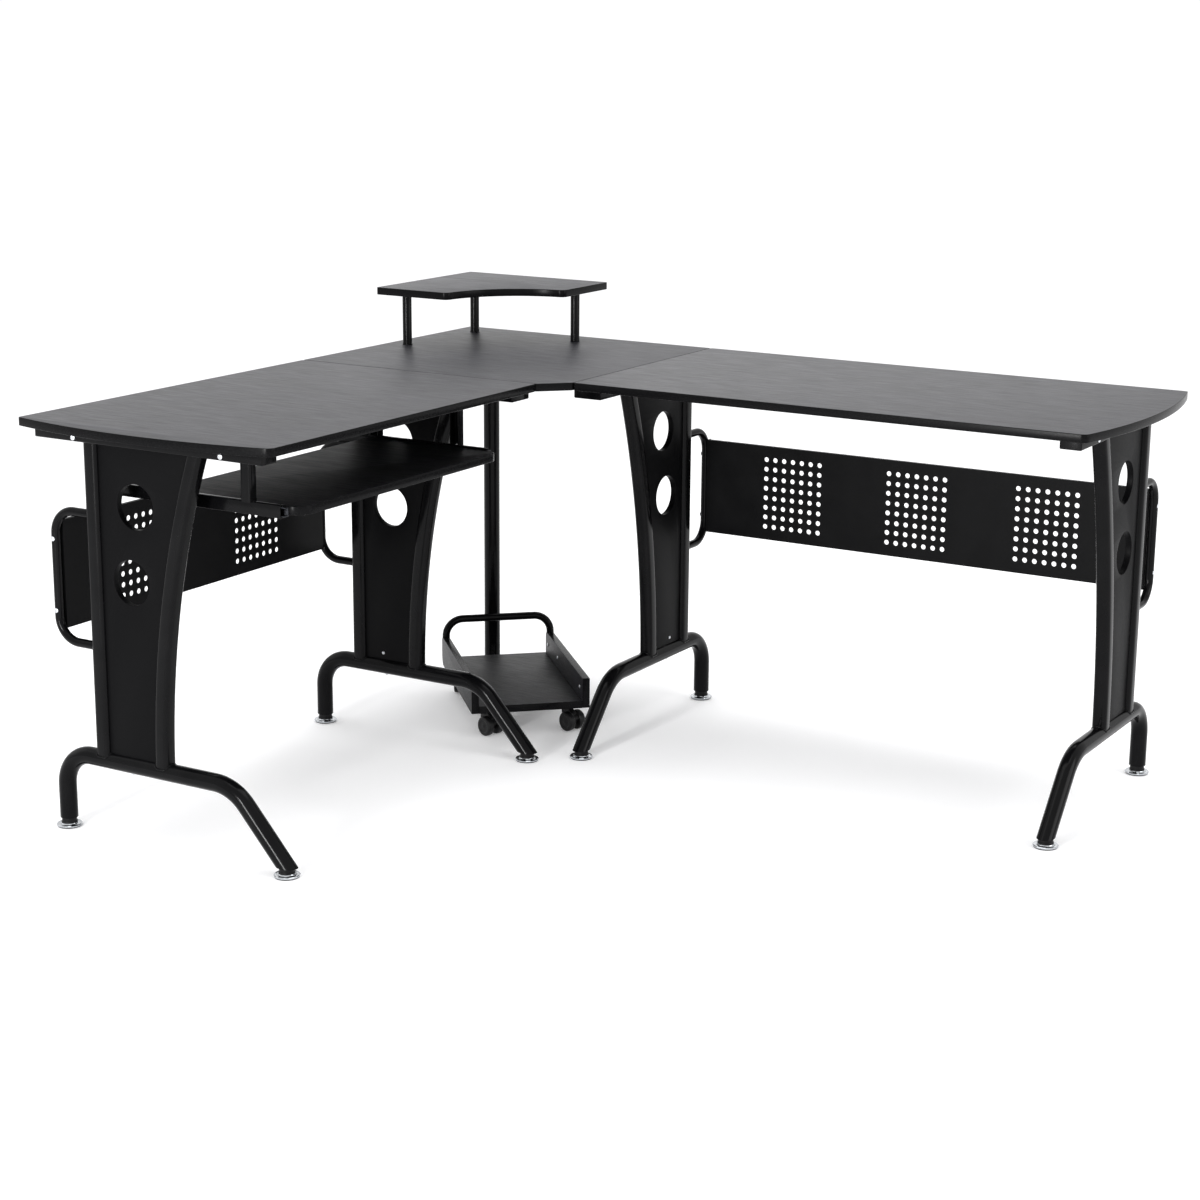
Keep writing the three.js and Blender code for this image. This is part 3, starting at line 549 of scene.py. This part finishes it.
print("stage: legs")
footTube = {
    "radius": 16, "runHeight": 141, "endHeight": 17, "rearReach": 38, "frontReach": 530,
    "rearBend": 70, "frontBend": 90, "slope": 48.3,
}
upright = {
    "along": 30, "across": 28, "corner": 9, "rearReach": 134.5, "frontReach": 269, "arc": 1748,
    "weld": 1.7, "sink": 0.4,
}
legPanel = {
    "thickness": 12, "edge": 0.8, "inset": 2, "hole": 80, "upperDrop": 139, "spacing": 134, "share": 0.47,
}
sideLoop = {"radius": 8, "reach": 38, "height": 235, "topDrop": 164, "bend": 45, "sink": 8}
crossbar = {"corner": 2.5, "edge": 0.8}
legTop = boxOf("left_end_rear_upright")[1][2]


def footPath():
    slope = math.radians(footTube["slope"])
    drop = footTube["runHeight"] - footTube["endHeight"]
    elbow = footTube["frontReach"] - drop / math.tan(slope)
    corners = [
        (footTube["rearReach"], footTube["endHeight"]), (footTube["rearReach"], footTube["runHeight"]),
        (elbow, footTube["runHeight"]), (footTube["frontReach"], footTube["endHeight"]),
    ]
    rear = filletCorner(corners[0], corners[1], corners[2], footTube["rearBend"], 18)
    front = filletCorner(corners[1], corners[2], corners[3], footTube["frontBend"], 16)
    return denser(np.vstack([corners[:1], rear, front, corners[3:]]), 60)


def saddle(ring):
    # height of the foot tube's upper surface under each point, a hair lower so that they join
    across = np.clip(ring[:, 1], -footTube["radius"], footTube["radius"])
    return footTube["runHeight"] + np.sqrt(footTube["radius"] ** 2 - across ** 2) - upright["sink"]


def frontReachAt(height):
    rise = np.maximum(np.asarray(height, float) - footTube["runHeight"], 0)
    return upright["frontReach"] + upright["arc"] - np.sqrt(upright["arc"] ** 2 - rise ** 2)


def weldBead(reach, place):
    # a bead carried round the foot of an upright, on the tube: its ring swells with each drop
    foot = sectionLoop(upright["along"] + 1, upright["across"] + 0.6, upright["corner"], 8)
    foot = denser(np.vstack([foot, foot[:1]]), 1.5)[:-1]
    level = saddle(foot) + upright["sink"]
    line = np.stack([foot[:, 0] + reach, foot[:, 1], level], -1)
    along = unit(np.roll(line, -1, 0) - np.roll(line, 1, 0))
    side = unit(np.cross(along, [0, 0, 1]))
    up = np.cross(side, along)
    walked = np.arange(len(line)) / len(line) * tau
    size = upright["weld"] * (1 + 0.14 * np.sin(34 * walked) + 0.08 * np.sin(13 * walked + 1))
    angle = np.arange(10) * tau / 10
    ring = side[:, None] * np.cos(angle)[None, :, None] + up[:, None] * np.sin(angle)[None, :, None]
    points = line[:, None] + size[:, None, None] * ring
    return shell(placed(points.reshape(-1, 3), place), gridQuads(len(line), 10, True, True))


def steelPiece(name, shells, node, body="desk_frame"):
    makePiece(name, shells, [powderCoat], body, [node])


def makeLeg(leg):
    place = legPlaces[leg]
    rearReach = upright["rearReach"]
    levels = (None, footTube["endHeight"])
    tube = carriedShell(footPath(), roundSection(footTube["radius"], 40), place, levels)
    beads = [weldBead(reach, place) for reach in (rearReach, upright["frontReach"])]
    steelPiece(leg + "FootTube", [tube, *beads], leg + "_foot_tube")
    section = sectionLoop(upright["along"], upright["across"], upright["corner"])
    start = footTube["runHeight"] + footTube["radius"] + 4
    rear = carriedShell([(rearReach, start), (rearReach, legTop)], section, place, (saddle, None))
    steelPiece(leg + "RearUpright", [rear], leg + "_rear_upright")
    heights = np.linspace(start, legTop, 40)
    bent = np.stack([frontReachAt(heights), heights], -1)
    front = carriedShell(bent, section, place, (saddle, legTop))
    steelPiece(leg + "FrontUpright", [front], leg + "_front_upright")
    panel = [panelShell(place)]
    makePiece(leg + "Panel", panel, [panelMelamine], "desk_frame", [leg + "_leg_panel"])
    steelPiece(leg + "SideLoop", [sideLoopShell(place)], leg + "_side_bracket")


def sideLoopShell(place):
    # a bent bar behind the leg, its two ends run into the rear upright
    top = topLevel - sideLoop["topDrop"]
    bottom = top - sideLoop["height"]
    root, reach = upright["rearReach"] - sideLoop["sink"], sideLoop["reach"]
    corners = [(root, top), (reach, top), (reach, bottom), (root, bottom)]
    upper = filletCorner(*corners[:3], sideLoop["bend"], 16)
    lower = filletCorner(*corners[1:], sideLoop["bend"], 16)
    path = np.vstack([corners[:1], upper, lower, corners[3:]])
    return carriedShell(path, roundSection(sideLoop["radius"]), place)


def panelShell(place):
    # the outline follows the rear upright, the foot tube and the arc of the front upright; it
    # starts a little inside each of them
    bottom = footTube["runHeight"] + footTube["radius"] - 1.5
    halfUpright = upright["along"] / 2
    rearFace = upright["rearReach"] + halfUpright
    rear = rearFace - legPanel["inset"]
    heights = np.linspace(bottom, legTop, 30)
    front = np.stack([frontReachAt(heights) - halfUpright + legPanel["inset"], heights], -1)
    outline = np.vstack([front, [(rear, legTop), (rear, bottom)]])
    holes = []
    for drop in (legPanel["upperDrop"], legPanel["upperDrop"] + legPanel["spacing"]):
        height = topLevel - drop
        reach = rearFace + (frontReachAt(height) - halfUpright - rearFace) * legPanel["share"]
        holes.append(circleLoop((reach, height), legPanel["hole"] / 2, 72))
    # the plate's own x, y and thickness run along the leg's x, z and -y
    flat = shifted(place, (0, legPanel["thickness"] / 2, 0), acrossAxes(-1))
    return plateShell(outline, holes, legPanel["thickness"], legPanel["edge"], flat)


def makeCrossbar(name, node):
    # a rectangular tube along its longest side: a rounded section with slightly eased ends
    low, high = boxOf(node)
    size = high - low
    run = int(np.argmax(size))
    across = [axis for axis in (0, 1, 2) if axis != run]
    axes = np.eye(3)[[*across, run]]
    middle = (low + high) / 2
    middle[run] = low[run]
    section = sectionLoop(*size[across], crossbar["corner"])
    steelPiece(name, [plateShell(section, [], size[run], crossbar["edge"], (middle * mm, axes))], node)


for leg in legNames:
    makeLeg(leg)
    makeCrossbar(leg + "Crossbar", leg + "_crossbar")

print("stage: levelling feet")
# profiles are (radius, height) above the floor
levellingFoot = {
    "pad": [
        (0, 1.2), (21.4, 1.2), (22.6, 1.8), (23, 2.8), (22.8, 4), (21.8, 4.9), (20.4, 5), (18.6, 4.5),
        (16.8, 4.6), (15.4, 5.6), (14.8, 6.9), (0, 6.9),
    ],
    # the sole under the pad is a dark ring at its rim, put there as painted contact shadow
    "shadowSole": [(0, 0), (21.2, 0), (21.8, 0.5), (21.8, 1.6), (0, 1.6)],
    "hub": [
        (0, 6.5), (13.6, 6.5), (14.4, 7.2), (14.5, 8.6), (13.8, 10), (13.2, 10.6), (13.2, 15.8),
        (12.6, 16.5), (0, 16.5),
    ],
    "stem": 4, "stemLow": 16, "stemHigh": 24, "thread": 1.25, "threadDepth": 0.6,
}


def threadShell(place):
    # a screwed stem: the radius rises and falls along the height plus the turn, as a helix does
    low, high = levellingFoot["stemLow"], levellingFoot["stemHigh"]
    rows, columns = int((high - low) / 0.3), 20
    height = np.linspace(low, high, rows)[:, None]
    angle = (np.arange(columns) * tau / columns)[None, :]
    wave = np.abs(((height / levellingFoot["thread"] - angle / tau) % 1) - 0.5) * 2
    radius = levellingFoot["stem"] - levellingFoot["threadDepth"] * wave
    level = np.broadcast_to(height, radius.shape)
    points = np.stack([radius * np.cos(angle), radius * np.sin(angle), level], -1)
    return shell(placed(points.reshape(-1, 3), place), tubeFaces(rows, columns), 2)


def padShells(place, firstSurface):
    # chrome pad, black sole under it and plastic plug above it; the last two share a material. The sole is a
    # dark ring that paints the contact shadow round the pad's rim
    surfaces = {"pad": firstSurface, "shadowSole": firstSurface + 1, "hub": firstSurface + 1}
    segments = {"pad": 64, "shadowSole": 64, "hub": 48}
    return [turnedShell(levellingFoot[key], place, segments[key], surfaces[key]) for key in surfaces]


def makeLevellingFoot(node, body):
    place = standingOn(node, boxOf(node)[0][2])
    name = node.replace("_levelling_foot", "LevellingFoot")
    shells = [*padShells(place, 0), threadShell(place)]
    makePiece(name, shells, [chromePlate, plugPlastic, zincPlate], body, [node])


for leg in legNames:
    for end in ("rear", "front"):
        makeLevellingFoot(f"{leg}_{end}_levelling_foot", f"{leg}_{end}_foot")

print("stage: perforated back panels")
backPanel = {
    "sheet": 1.4, "flange": 15, "hem": 8, "hole": 10, "pitch": 20, "columns": 7, "rows": 8,
    "groups": {"left": 2, "right": 3}, "margins": {"left": 149, "right": 139},
}


def foldStrip(front, depth, edge, side, length, place):
    # a strip of sheet folded back from the panel's face, just inside the edge on that side
    low, high = sorted((edge, edge - side * backPanel["sheet"]))
    back, face = front - depth, front - backPanel["sheet"] / 2
    section = np.array([(back, low), (face, low), (face, high), (back, high)])
    return plateShell(section, [], length, 0, place)


def spread(count, pitch):
    # places of a row of things about nought
    return (np.arange(count) - (count - 1) / 2) * pitch


def makeBackPanel(wing):
    node = wing + "_back_panel"
    low, high = boxOf(node)
    size, middle = high - low, (low + high) / 2
    run = 1 if wing == "left" else 0
    length = size[run]
    place = wingPlace(wing, middle[run])
    front = (high[0] - backX) if wing == "left" else (backY - low[1])
    groups, pitch = backPanel["groups"][wing], backPanel["pitch"]
    groupWidth = (backPanel["columns"] - 1) * pitch
    groupPitch = (length - groupWidth - 2 * backPanel["margins"][wing]) / (groups - 1)
    along = (spread(groups, groupPitch)[:, None] + spread(backPanel["columns"], pitch)[None]).ravel()
    rows = spread(backPanel["rows"], pitch)
    centres = np.stack(np.meshgrid(along, rows, indexing="ij"), -1).reshape(-1, 2)
    x, y = length / 2, size[2] / 2
    outline = np.array([(-x, -y), (x, -y), (x, y), (-x, y)])
    holes = [circleLoop(centre, backPanel["hole"] / 2, 20) for centre in centres]
    # the sheet's own x, y and thickness run along the wing, up, and towards the back
    face = shifted(place, (front, 0, middle[2]), ((0, 1, 0), (0, 0, 1), (-1, 0, 0)))
    shells = [plateShell(outline, holes, backPanel["sheet"], 0, face)]
    flangePlace = shifted(place, (0, 0, middle[2] - y))
    hemPlace = shifted(place, (0, x, 0), acrossAxes(-1))
    for side in (-1, 1):
        shells.append(foldStrip(front, backPanel["flange"], side * x, side, size[2], flangePlace))
        shells.append(foldStrip(front, backPanel["hem"], middle[2] + side * y, side, length, hemPlace))
    makePiece(wing + "BackPanel", shells, [sheetCoat], "desk_frame", [node])


makeBackPanel("left")
makeBackPanel("right")

print("stage: keyboard tray slides")
slideSizes = {
    "sheet": 1.5, "height": 22, "depth": 12.5, "lip": 11.5, "gap": 0.3, "sink": 0.8,
    "hangerSheet": 2, "hanger": 20, "hangerReach": 18, "overhang": 10, "offsets": (85, 271),
}


def channelLoop(depth, height, sheet, side, corner=1.0):
    # a C section open on one side, web at nought and lips towards the open side
    tip, web, half = side * depth, side * sheet, height / 2
    return roundedLoop([
        (0, -half, corner), (tip, -half, 0.3), (tip, -half + sheet, 0.3), (web, -half + sheet, 0.3),
        (web, half - sheet, 0.3), (tip, half - sheet, 0.3), (tip, half, 0.3), (0, half, corner),
    ], 3)


def makeSlide(name, side):
    # rail and runner: sections in the y-z plane, carried along x
    sectionAxes = axesOf((0, 1, 0), (0, 0, 1), (1, 0, 0))
    railNode, runnerNode = "tray_fixed_rail_" + name, "tray_runner_" + name
    low, high = boxOf(railNode)
    runLow, runHigh = boxOf(runnerNode)
    trayEdge = boxOf("keyboard_tray")[0 if side < 0 else 1][1]
    inner = trayEdge + side * slideSizes["gap"]
    outer = inner + side * slideSizes["depth"]
    level = (runLow + runHigh)[2] / 2
    section = channelLoop(slideSizes["lip"], slideSizes["height"], slideSizes["sheet"], -side)
    railPlace = np.array([low[0], outer, level]) * mm, sectionAxes
    shells = [plateShell(section, [], high[0] - low[0], 0.2, railPlace)]
    railTop = level + slideSizes["height"] / 2 - slideSizes["sink"]
    hangerBack = low[1] if side < 0 else high[1]
    for offset in slideSizes["offsets"]:
        shells += hangerShells(low[0] + offset, hangerBack, -side, railTop, high[2])
    steelPiece("trayRail" + name.capitalize(), shells, railNode)
    size = runHigh - runLow
    section = channelLoop(size[1], size[2], slideSizes["sheet"], side)
    runPlace = np.array([runLow[0], inner, level]) * mm, sectionAxes
    runner = [plateShell(section, [], size[0], 0.2, runPlace)]
    pieceName = "trayRunner" + name.capitalize()
    makePiece(pieceName, runner, [slideZinc], "keyboard_tray", [runnerNode])


def hangerShells(start, outer, side, low, high):
    # an upright channel, open towards the tray, under a fixing plate
    sheet, width = slideSizes["hangerSheet"], slideSizes["hanger"]
    reach, inner = side * slideSizes["hangerReach"], side * sheet
    loop = roundedLoop([
        (0, reach, 0.4), (0, 0, 2), (width, 0, 2), (width, reach, 0.4),
        (width - sheet, reach, 0.4), (width - sheet, inner, 0.6), (sheet, inner, 0.6), (sheet, reach, 0.4),
    ], 3)
    place = np.array([start, outer, low]) * mm, uprightAxes
    post = plateShell(loop, [], high - low - 1, 0, place)
    over = slideSizes["overhang"]
    wide = width + over
    plate = roundedLoop([(-over, 0, 3), (wide, 0, 3), (wide, reach, 3), (-over, reach, 3)], 4)
    platePlace = np.array([start, outer, high - sheet]) * mm, uprightAxes
    return [post, plateShell(plate, [], sheet, 0.3, platePlace)]


makeSlide("near", -1)
makeSlide("far", 1)

print("stage: posts")
shelfPost = {"radius": 9.5, "collar": 10.4, "collarHeight": 1.2, "shoulder": 1.8, "ease": 0.6}
cornerPost = {
    "radius": 17, "bottom": 17, "neck": 19, "neckDrop": 6, "plate": 31, "plateHeight": 4, "ease": 1.2,
}


def makeShelfPost(side):
    # steel tube with a turned collar at the foot
    node = "shelf_post_" + side
    low, high = boxOf(node)
    radius, collar, top = shelfPost["radius"], shelfPost["collar"], high[2] - low[2]
    profile = rounded([
        (0, 0), (collar, 0), (collar, shelfPost["collarHeight"]), (radius, shelfPost["shoulder"]),
        (radius, top), (0, top),
    ], shelfPost["ease"], 4)
    steelPiece("shelfPost" + side.capitalize(), [turnedShell(profile, standingOn(node, low[2]))], node)


def makeCornerPost():
    # round tube with a welded plate under the top and the same kind of foot as the legs
    top = boxOf("corner_post")[1][2]
    place = standingOn("corner_post", 0)
    radius, plate, bottom = cornerPost["radius"], cornerPost["plate"], cornerPost["bottom"]
    under = top - cornerPost["plateHeight"]
    tube = rounded([
        (0, bottom), (radius, bottom), (radius, top - cornerPost["neckDrop"]), (cornerPost["neck"], under),
        (plate, under), (plate, top), (0, top),
    ], cornerPost["ease"], 4)
    # a short disc closes the tube round the plug
    disc = [(0, bottom - 1), (12, bottom - 1), (12, bottom + 0.5), (0, bottom + 0.5)]
    shells = [turnedShell(tube, place), *padShells(place, 1), turnedShell(disc, place, 24, 2)]
    finishes = [powderCoat, chromePlate, plugPlastic]
    makePiece("cornerPost", shells, finishes, "desk_frame", ["corner_post"])


for side in ("corner", "left", "right"):
    makeShelfPost(side)
makeCornerPost()

print("stage: tower stand")
stand = {
    "length": 382, "inner": 212, "side": 15, "floor": 70, "board": 15, "rise": 47, "turn": -46.6,
    "tube": 16, "handleRise": 156.5, "handleBend": 36, "handleInset": 12, "insetAlong": 52, "insetAcross": 22,
    "play": 0.2, "backCorner": 22, "topCorner": 11, "frontCorner": 2, "edge": 0.9,
}
# the web's profile is (along, height) corners; hub and tread are (radius, height) profiles
caster = {
    "wheel": 20, "outer": 20, "inner": 6.5, "trail": 18, "web": 11, "frontTurn": 28, "backTurn": 168,
    "profile": [(-10, 46), (-10, 28), (8, 12), (22, 10), (30, 22), (26, 36), (10, 46)],
    "hub": [(0, 41), (10, 41), (10, 49.5), (8.5, 51), (4, 51), (4, 54.5), (0, 54.5)],
    "tread": [
        (0, 0), (3.2, 0), (3.2, 0.6), (12, 0.9), (12.6, 0.2), (14, 0), (16.8, 0), (18.6, 0.7), (19.6, 2),
        (20, 3.6), (20, 10.5), (19.4, 12.6), (18, 13.5), (3, 13.5), (0, 13.5),
    ],
    "pin": 3, "pinEnd": 1, "hoodInner": 6.5, "hoodOuter": 3.5, "hoodPlay": 0.9, "hoodEase": 0.8,
}


def turnedAxes(degrees):
    angle = math.radians(degrees)
    return axesOf((math.cos(angle), math.sin(angle), 0), (-math.sin(angle), math.cos(angle), 0), (0, 0, 1))


standPlace = standingOn("stand_base", 0, turnedAxes(stand["turn"]))


def standBoard(name, shells, node):
    makePiece(name, shells, [standMelamine, edgeBand], "tower_stand", [node])


def makeStandBoards():
    x, halfInner, thick = stand["length"] / 2, stand["inner"] / 2, stand["side"]
    under, top = stand["floor"] - stand["board"], stand["floor"] + stand["rise"]
    y = halfInner - stand["play"]
    outline = roundedLoop([(-x, -y, 1), (x, -y, 1), (x, y, 1), (-x, y, 1)], 2)
    place = shifted(standPlace, (0, 0, under))
    standBoard("standFloor", [plateShell(outline, [], stand["board"], 0.8, place, 0, 1)], "stand_base")
    outline = roundedLoop([
        (-x, under, stand["backCorner"]), (x, under, stand["frontCorner"]), (x, top, stand["frontCorner"]),
        (-x, top, stand["topCorner"]),
    ], 8)
    for name, sign in (("Left", -1), ("Right", 1)):
        face = sign * (halfInner + thick / 2) + thick / 2
        place = shifted(standPlace, (0, face, 0), acrossAxes(-1))
        side = plateShell(outline, [], thick, stand["edge"], place, 0, 1)
        standBoard("standSide" + name, [side], "stand_side_" + name.lower())


def makeStandHandle():
    reach = stand["inner"] / 2 + stand["side"] / 2
    foot, rise, bend = stand["floor"] + stand["rise"], stand["handleRise"], stand["handleBend"]
    left, right = (-reach, rise), (reach, rise)
    # the bends take up nearly all of the rise, so their sides are aimed at points further down
    leftBend = filletCorner((-reach, foot - rise), left, right, bend, 20)
    rightBend = filletCorner(left, right, (reach, foot - rise), bend, 20)
    path = np.vstack([[(-reach, foot)], leftBend, rightBend, [(reach, foot)]])
    end = stand["handleInset"] - stand["length"] / 2
    across = shifted(standPlace, (end, 0, 0), ((0, 1, 0), (-1, 0, 0), (0, 0, 1)))
    bar = carriedShell(path, roundSection(stand["tube"] / 2), across)
    steelPiece("standHandle", [bar], "stand_handle", "tower_stand")


def makeCaster(end, side, along, across, turn):
    name, spot = end.capitalize() + side.capitalize(), end + "_" + side
    body = shifted(standPlace, (along, across, 0))[0], turnedAxes(stand["turn"] + turn)
    web = shifted(body, (0, caster["web"] / 2, 0), acrossAxes(-1))
    outline = roundedLoop([(x, z, 3) for x, z in caster["profile"]], 5)
    shells = [
        plateShell(outline, [], caster["web"], 1.2, web),
        turnedShell(rounded(caster["hub"], 0.6), body, 36),
        hoodShell(body),
    ]
    bodyName, node = "caster_body_" + spot, "caster_" + spot
    makePiece("casterBody" + name, shells, [nylon], bodyName, [node])
    trail, inner, radius = caster["trail"], caster["inner"], caster["wheel"]
    shells = []
    for sign in (-1, 1):
        axle = shifted(body, (trail, sign * caster["outer"], radius), acrossAxes(-sign))
        shells.append(turnedShell(rounded(caster["tread"], 0.5), axle, 56))
    length = 2 * (inner + caster["pinEnd"])
    pin = shifted(body, (trail, -length / 2, radius), acrossAxes(1))
    profile = [(0, 0), (caster["pin"], 0), (caster["pin"], length), (0, length)]
    shells.append(turnedShell(profile, pin, 20, 1))
    node = "caster_wheels_" + spot
    makePiece("casterWheels" + name, shells, [nylon, zincPlate], node, [node])


def hoodShell(place):
    # the bridge over the axle: a band of a cylinder about it, bent over the gap between the wheels
    angle = np.linspace(math.radians(20), math.radians(165), 22)[:, None]
    inner, outer = caster["wheel"] - caster["hoodInner"], caster["wheel"] - caster["hoodOuter"]
    half, ease = caster["inner"] - caster["hoodPlay"], caster["hoodEase"]
    ring = np.array([
        (inner, -half), (outer - ease, -half), (outer, -half + ease), (outer, half - ease),
        (outer - ease, half), (inner, half),
    ])
    x = caster["trail"] + ring[None, :, 0] * np.cos(angle)
    z = caster["wheel"] + ring[None, :, 0] * np.sin(angle)
    points = np.stack([x, np.broadcast_to(ring[None, :, 1], x.shape), z], -1)
    return shell(placed(points.reshape(-1, 3), place), tubeFaces(len(angle), len(ring)))


makeStandBoards()
makeStandHandle()
casterAlong = stand["length"] / 2 - stand["insetAlong"]
casterAcross = stand["inner"] / 2 - stand["insetAcross"]
for end, along in (("front", casterAlong), ("back", -casterAlong)):
    makeCaster(end, "left", along, -casterAcross, caster[end + "Turn"])
    makeCaster(end, "right", along, casterAcross, caster[end + "Turn"])

print("stage: screws")
# places along the wing or the stand, drops from the desk's top, and the radius of each kind of head
screwSizes = {
    "loopDrops": (216, 345), "loopHead": 4.3, "barReaches": (107, 429), "barDrop": 3, "barHead": 4.9,
    "panelSpot": (192, 169), "panelHead": 3.2, "boltReach": 195, "head": 3.6, "boltRise": 2.6,
    "standAlong": (164, -60, -166), "standLevel": 93, "standRise": 1.8,
}


def screwShell(place, radius, rise=2.2):
    # a pan head: a low dome, with a cross pressed into it, as a height over rings and turns
    ring = np.concatenate([[0], np.linspace(0.12, 1, 11)])[:, None]
    angle = (np.arange(48) * tau / 48)[None, :]
    x, y = ring * np.cos(angle), ring * np.sin(angle)
    dome = rise * np.sqrt(np.clip(1 - (0.94 * ring) ** 3, 0, 1)) * np.ones_like(x)
    armX = np.clip(1.6 - np.abs(y) / 0.11, 0, 1) * np.clip(6.5 - np.abs(x) / 0.1, 0, 1)
    armY = np.clip(1.6 - np.abs(x) / 0.11, 0, 1) * np.clip(6.5 - np.abs(y) / 0.1, 0, 1)
    height = dome - 0.5 * rise * np.maximum(armX, armY)
    top = np.stack([x * radius, y * radius, height], -1).reshape(-1, 3)
    rim = np.stack([x[-1] * radius, y[-1] * radius, np.full(48, -0.3)], -1)
    rows = len(ring) + 1
    faces = gridQuads(rows, 48, closeColumns=True).tolist()
    underside = list(range((rows - 1) * 48, rows * 48))
    return shell(placed(np.vstack([top, rim]), place), [*faces, underside])


def legScrews(leg):
    # each head sits on a face: its own z points away from the face, in the leg's directions
    place, out = legPlaces[leg], outerSide[leg]
    heads = []
    for drop in screwSizes["loopDrops"]:
        spot = (sideLoop["reach"], out * sideLoop["radius"] * 0.97, topLevel - drop)
        heads.append(screwShell(shifted(place, spot, acrossAxes(out)), screwSizes["loopHead"]))
    low, high = boxOf(leg + "_crossbar")
    width = min((high - low)[:2]) / 2
    level = (low + high)[2] / 2 - screwSizes["barDrop"]
    for reach in screwSizes["barReaches"]:
        spot = (reach, out * width, level)
        heads.append(screwShell(shifted(place, spot, acrossAxes(out)), screwSizes["barHead"]))
    if "inner" in leg:
        # on the panel's face that the user sees
        face = -out if leg == "left_inner" else 1
        reach, level = screwSizes["panelSpot"]
        spot = (reach, face * legPanel["thickness"] / 2, level)
        heads.append(screwShell(shifted(place, spot, acrossAxes(face)), screwSizes["panelHead"]))
    # bolt that holds the panel, under the foot tube
    spot = (screwSizes["boltReach"], 0, footTube["runHeight"] - footTube["radius"])
    bolt = shifted(place, spot, ((1, 0, 0), (0, -1, 0), (0, 0, -1)))
    heads.append(screwShell(bolt, screwSizes["head"], screwSizes["boltRise"]))
    return heads


def makeScrews():
    heads = [head for leg in legNames for head in legScrews(leg)]
    makePiece("deskScrews", heads, [zincPlate], "desk_frame", [])
    heads = []
    for along in screwSizes["standAlong"]:
        for side in (1, -1):
            spot = (along, side * stand["inner"] / 2, screwSizes["standLevel"])
            place = shifted(standPlace, spot, acrossAxes(-side))
            heads.append(screwShell(place, screwSizes["head"], screwSizes["standRise"]))
    makePiece("standScrews", heads, [zincPlate], "tower_stand", [])


makeScrews()

print("stage: studio")
# place, aim, width and height in metres, and power in watts; the tall strip in front, left of the
# camera, draws the bright line down each sloped tube
softboxes = {
    "overheadSoftbox": ((-0.3, 0.4, 3.2), (0, 0, 0.4), (3.4, 3.4), 60),
    "leftSoftbox": ((-3.6, -1.2, 1.9), (0, 0, 0.5), (1.6, 2.2), 6),
    "rightSoftbox": ((4.2, 0.8, 1.8), (0.4, 0, 0.5), (2.2, 2.2), 52),
    "frontStrip": ((-0.35, -4.6, 1.0), (-0.3, -0.6, 0.3), (0.45, 1.7), 150),
    "backSoftbox": ((-1.9, 4.3, 1.6), (-0.2, 0.4, 0.74), (3.2, 1.5), 5),
}
# the floor's glow is painted light: the floor lights itself, though it is no lamp, so the shadows on it come
# out lighter
studio = {"surround": 1.02, "floorGlowPaintedLight": 0.14, "paperReach": 60, "paperDrop": 0.0005}


def makeFloor():
    # a plain pale sweep with barely visible mottling, which glows a little by itself: painted light that
    # lifts the shadows on the floor
    paintedGlow = {"Emission_Color": (1, 1, 1, 1), "Emission_Strength": studio["floorGlowPaintedLight"]}
    finish, tree, shader = startMaterial("paleStudioPaper", Roughness=0.9, **paintedGlow)
    mottle = noiseOn(tree, objectPattern(tree, (700, 700, 700)), 2.0)
    tree.links.new(shades(tree, mottle, "#f5f5f6", "#f8f8f9"), shader.inputs["Base Color"])
    mesh = bpy.data.meshes.new("studioFloor")
    far = studio["paperReach"]
    mesh.from_pydata([(-far, -far, 0), (far, -far, 0), (far, far, 0), (-far, far, 0)], [], [(0, 1, 2, 3)])
    mesh.materials.append(finish)
    floor = addObject("studioFloor", mesh)
    floor.location.z = -studio["paperDrop"]


def addSoftbox(name, place, aim, size, power):
    lamp = bpy.data.lights.new(name, "AREA")
    lamp.shape = "RECTANGLE"
    lamp.size, lamp.size_y = size
    lamp.energy = power
    box = addObject(name, lamp)
    away = np.asarray(place, float) - np.asarray(aim, float)
    z = unit(away)
    x = unit(np.cross([0, 0, 1], z)) if abs(z[2]) < 0.99 else np.array([1.0, 0, 0])
    turn = Matrix(np.stack([x, np.cross(z, x), z], -1).tolist()).to_4x4()
    box.matrix_world = Matrix.Translation(place) @ turn
    box.visible_camera = False


def makeStudio():
    makeFloor()
    world = bpy.data.worlds.new("paleSurround")
    bpy.context.scene.world = world
    world.use_nodes = True
    background = world.node_tree.nodes["Background"]
    background.inputs["Color"].default_value = (1, 1, 1, 1)
    background.inputs["Strength"].default_value = studio["surround"]
    for name, setting in softboxes.items():
        addSoftbox(name, *setting)
    bpy.context.scene.view_settings.view_transform = "Standard"
    bpy.context.scene.view_settings.look = "None"


def makeCamera():
    # a long lens to the right front of the corner, looking slightly down
    view = {
        "place": (2134.98, -3688.61, 1460.56), "turn": -30.766, "down": 14.141, "roll": 0.439, "lens": 72.42,
    }
    yaw, pitch, roll = (math.radians(view[key]) for key in ("turn", "down", "roll"))
    forward = np.array([math.sin(yaw) * math.cos(pitch), math.cos(yaw) * math.cos(pitch), -math.sin(pitch)])
    right = np.array([math.cos(yaw), -math.sin(yaw), 0])
    up = np.cross(right, forward)
    c, s = math.cos(roll), math.sin(roll)
    right, up = c * right + s * up, c * up - s * right
    lens = bpy.data.cameras.new("studioCamera")
    lens.lens = view["lens"]
    lens.sensor_width = 36
    lens.clip_end = 200
    camera = addObject("studioCamera", lens)
    turn = Matrix(np.stack([right, up, -forward], -1).tolist()).to_4x4()
    camera.matrix_world = Matrix.Translation(np.array(view["place"]) * mm) @ turn
    bpy.context.scene.camera = camera


makeStudio()
makeCamera()
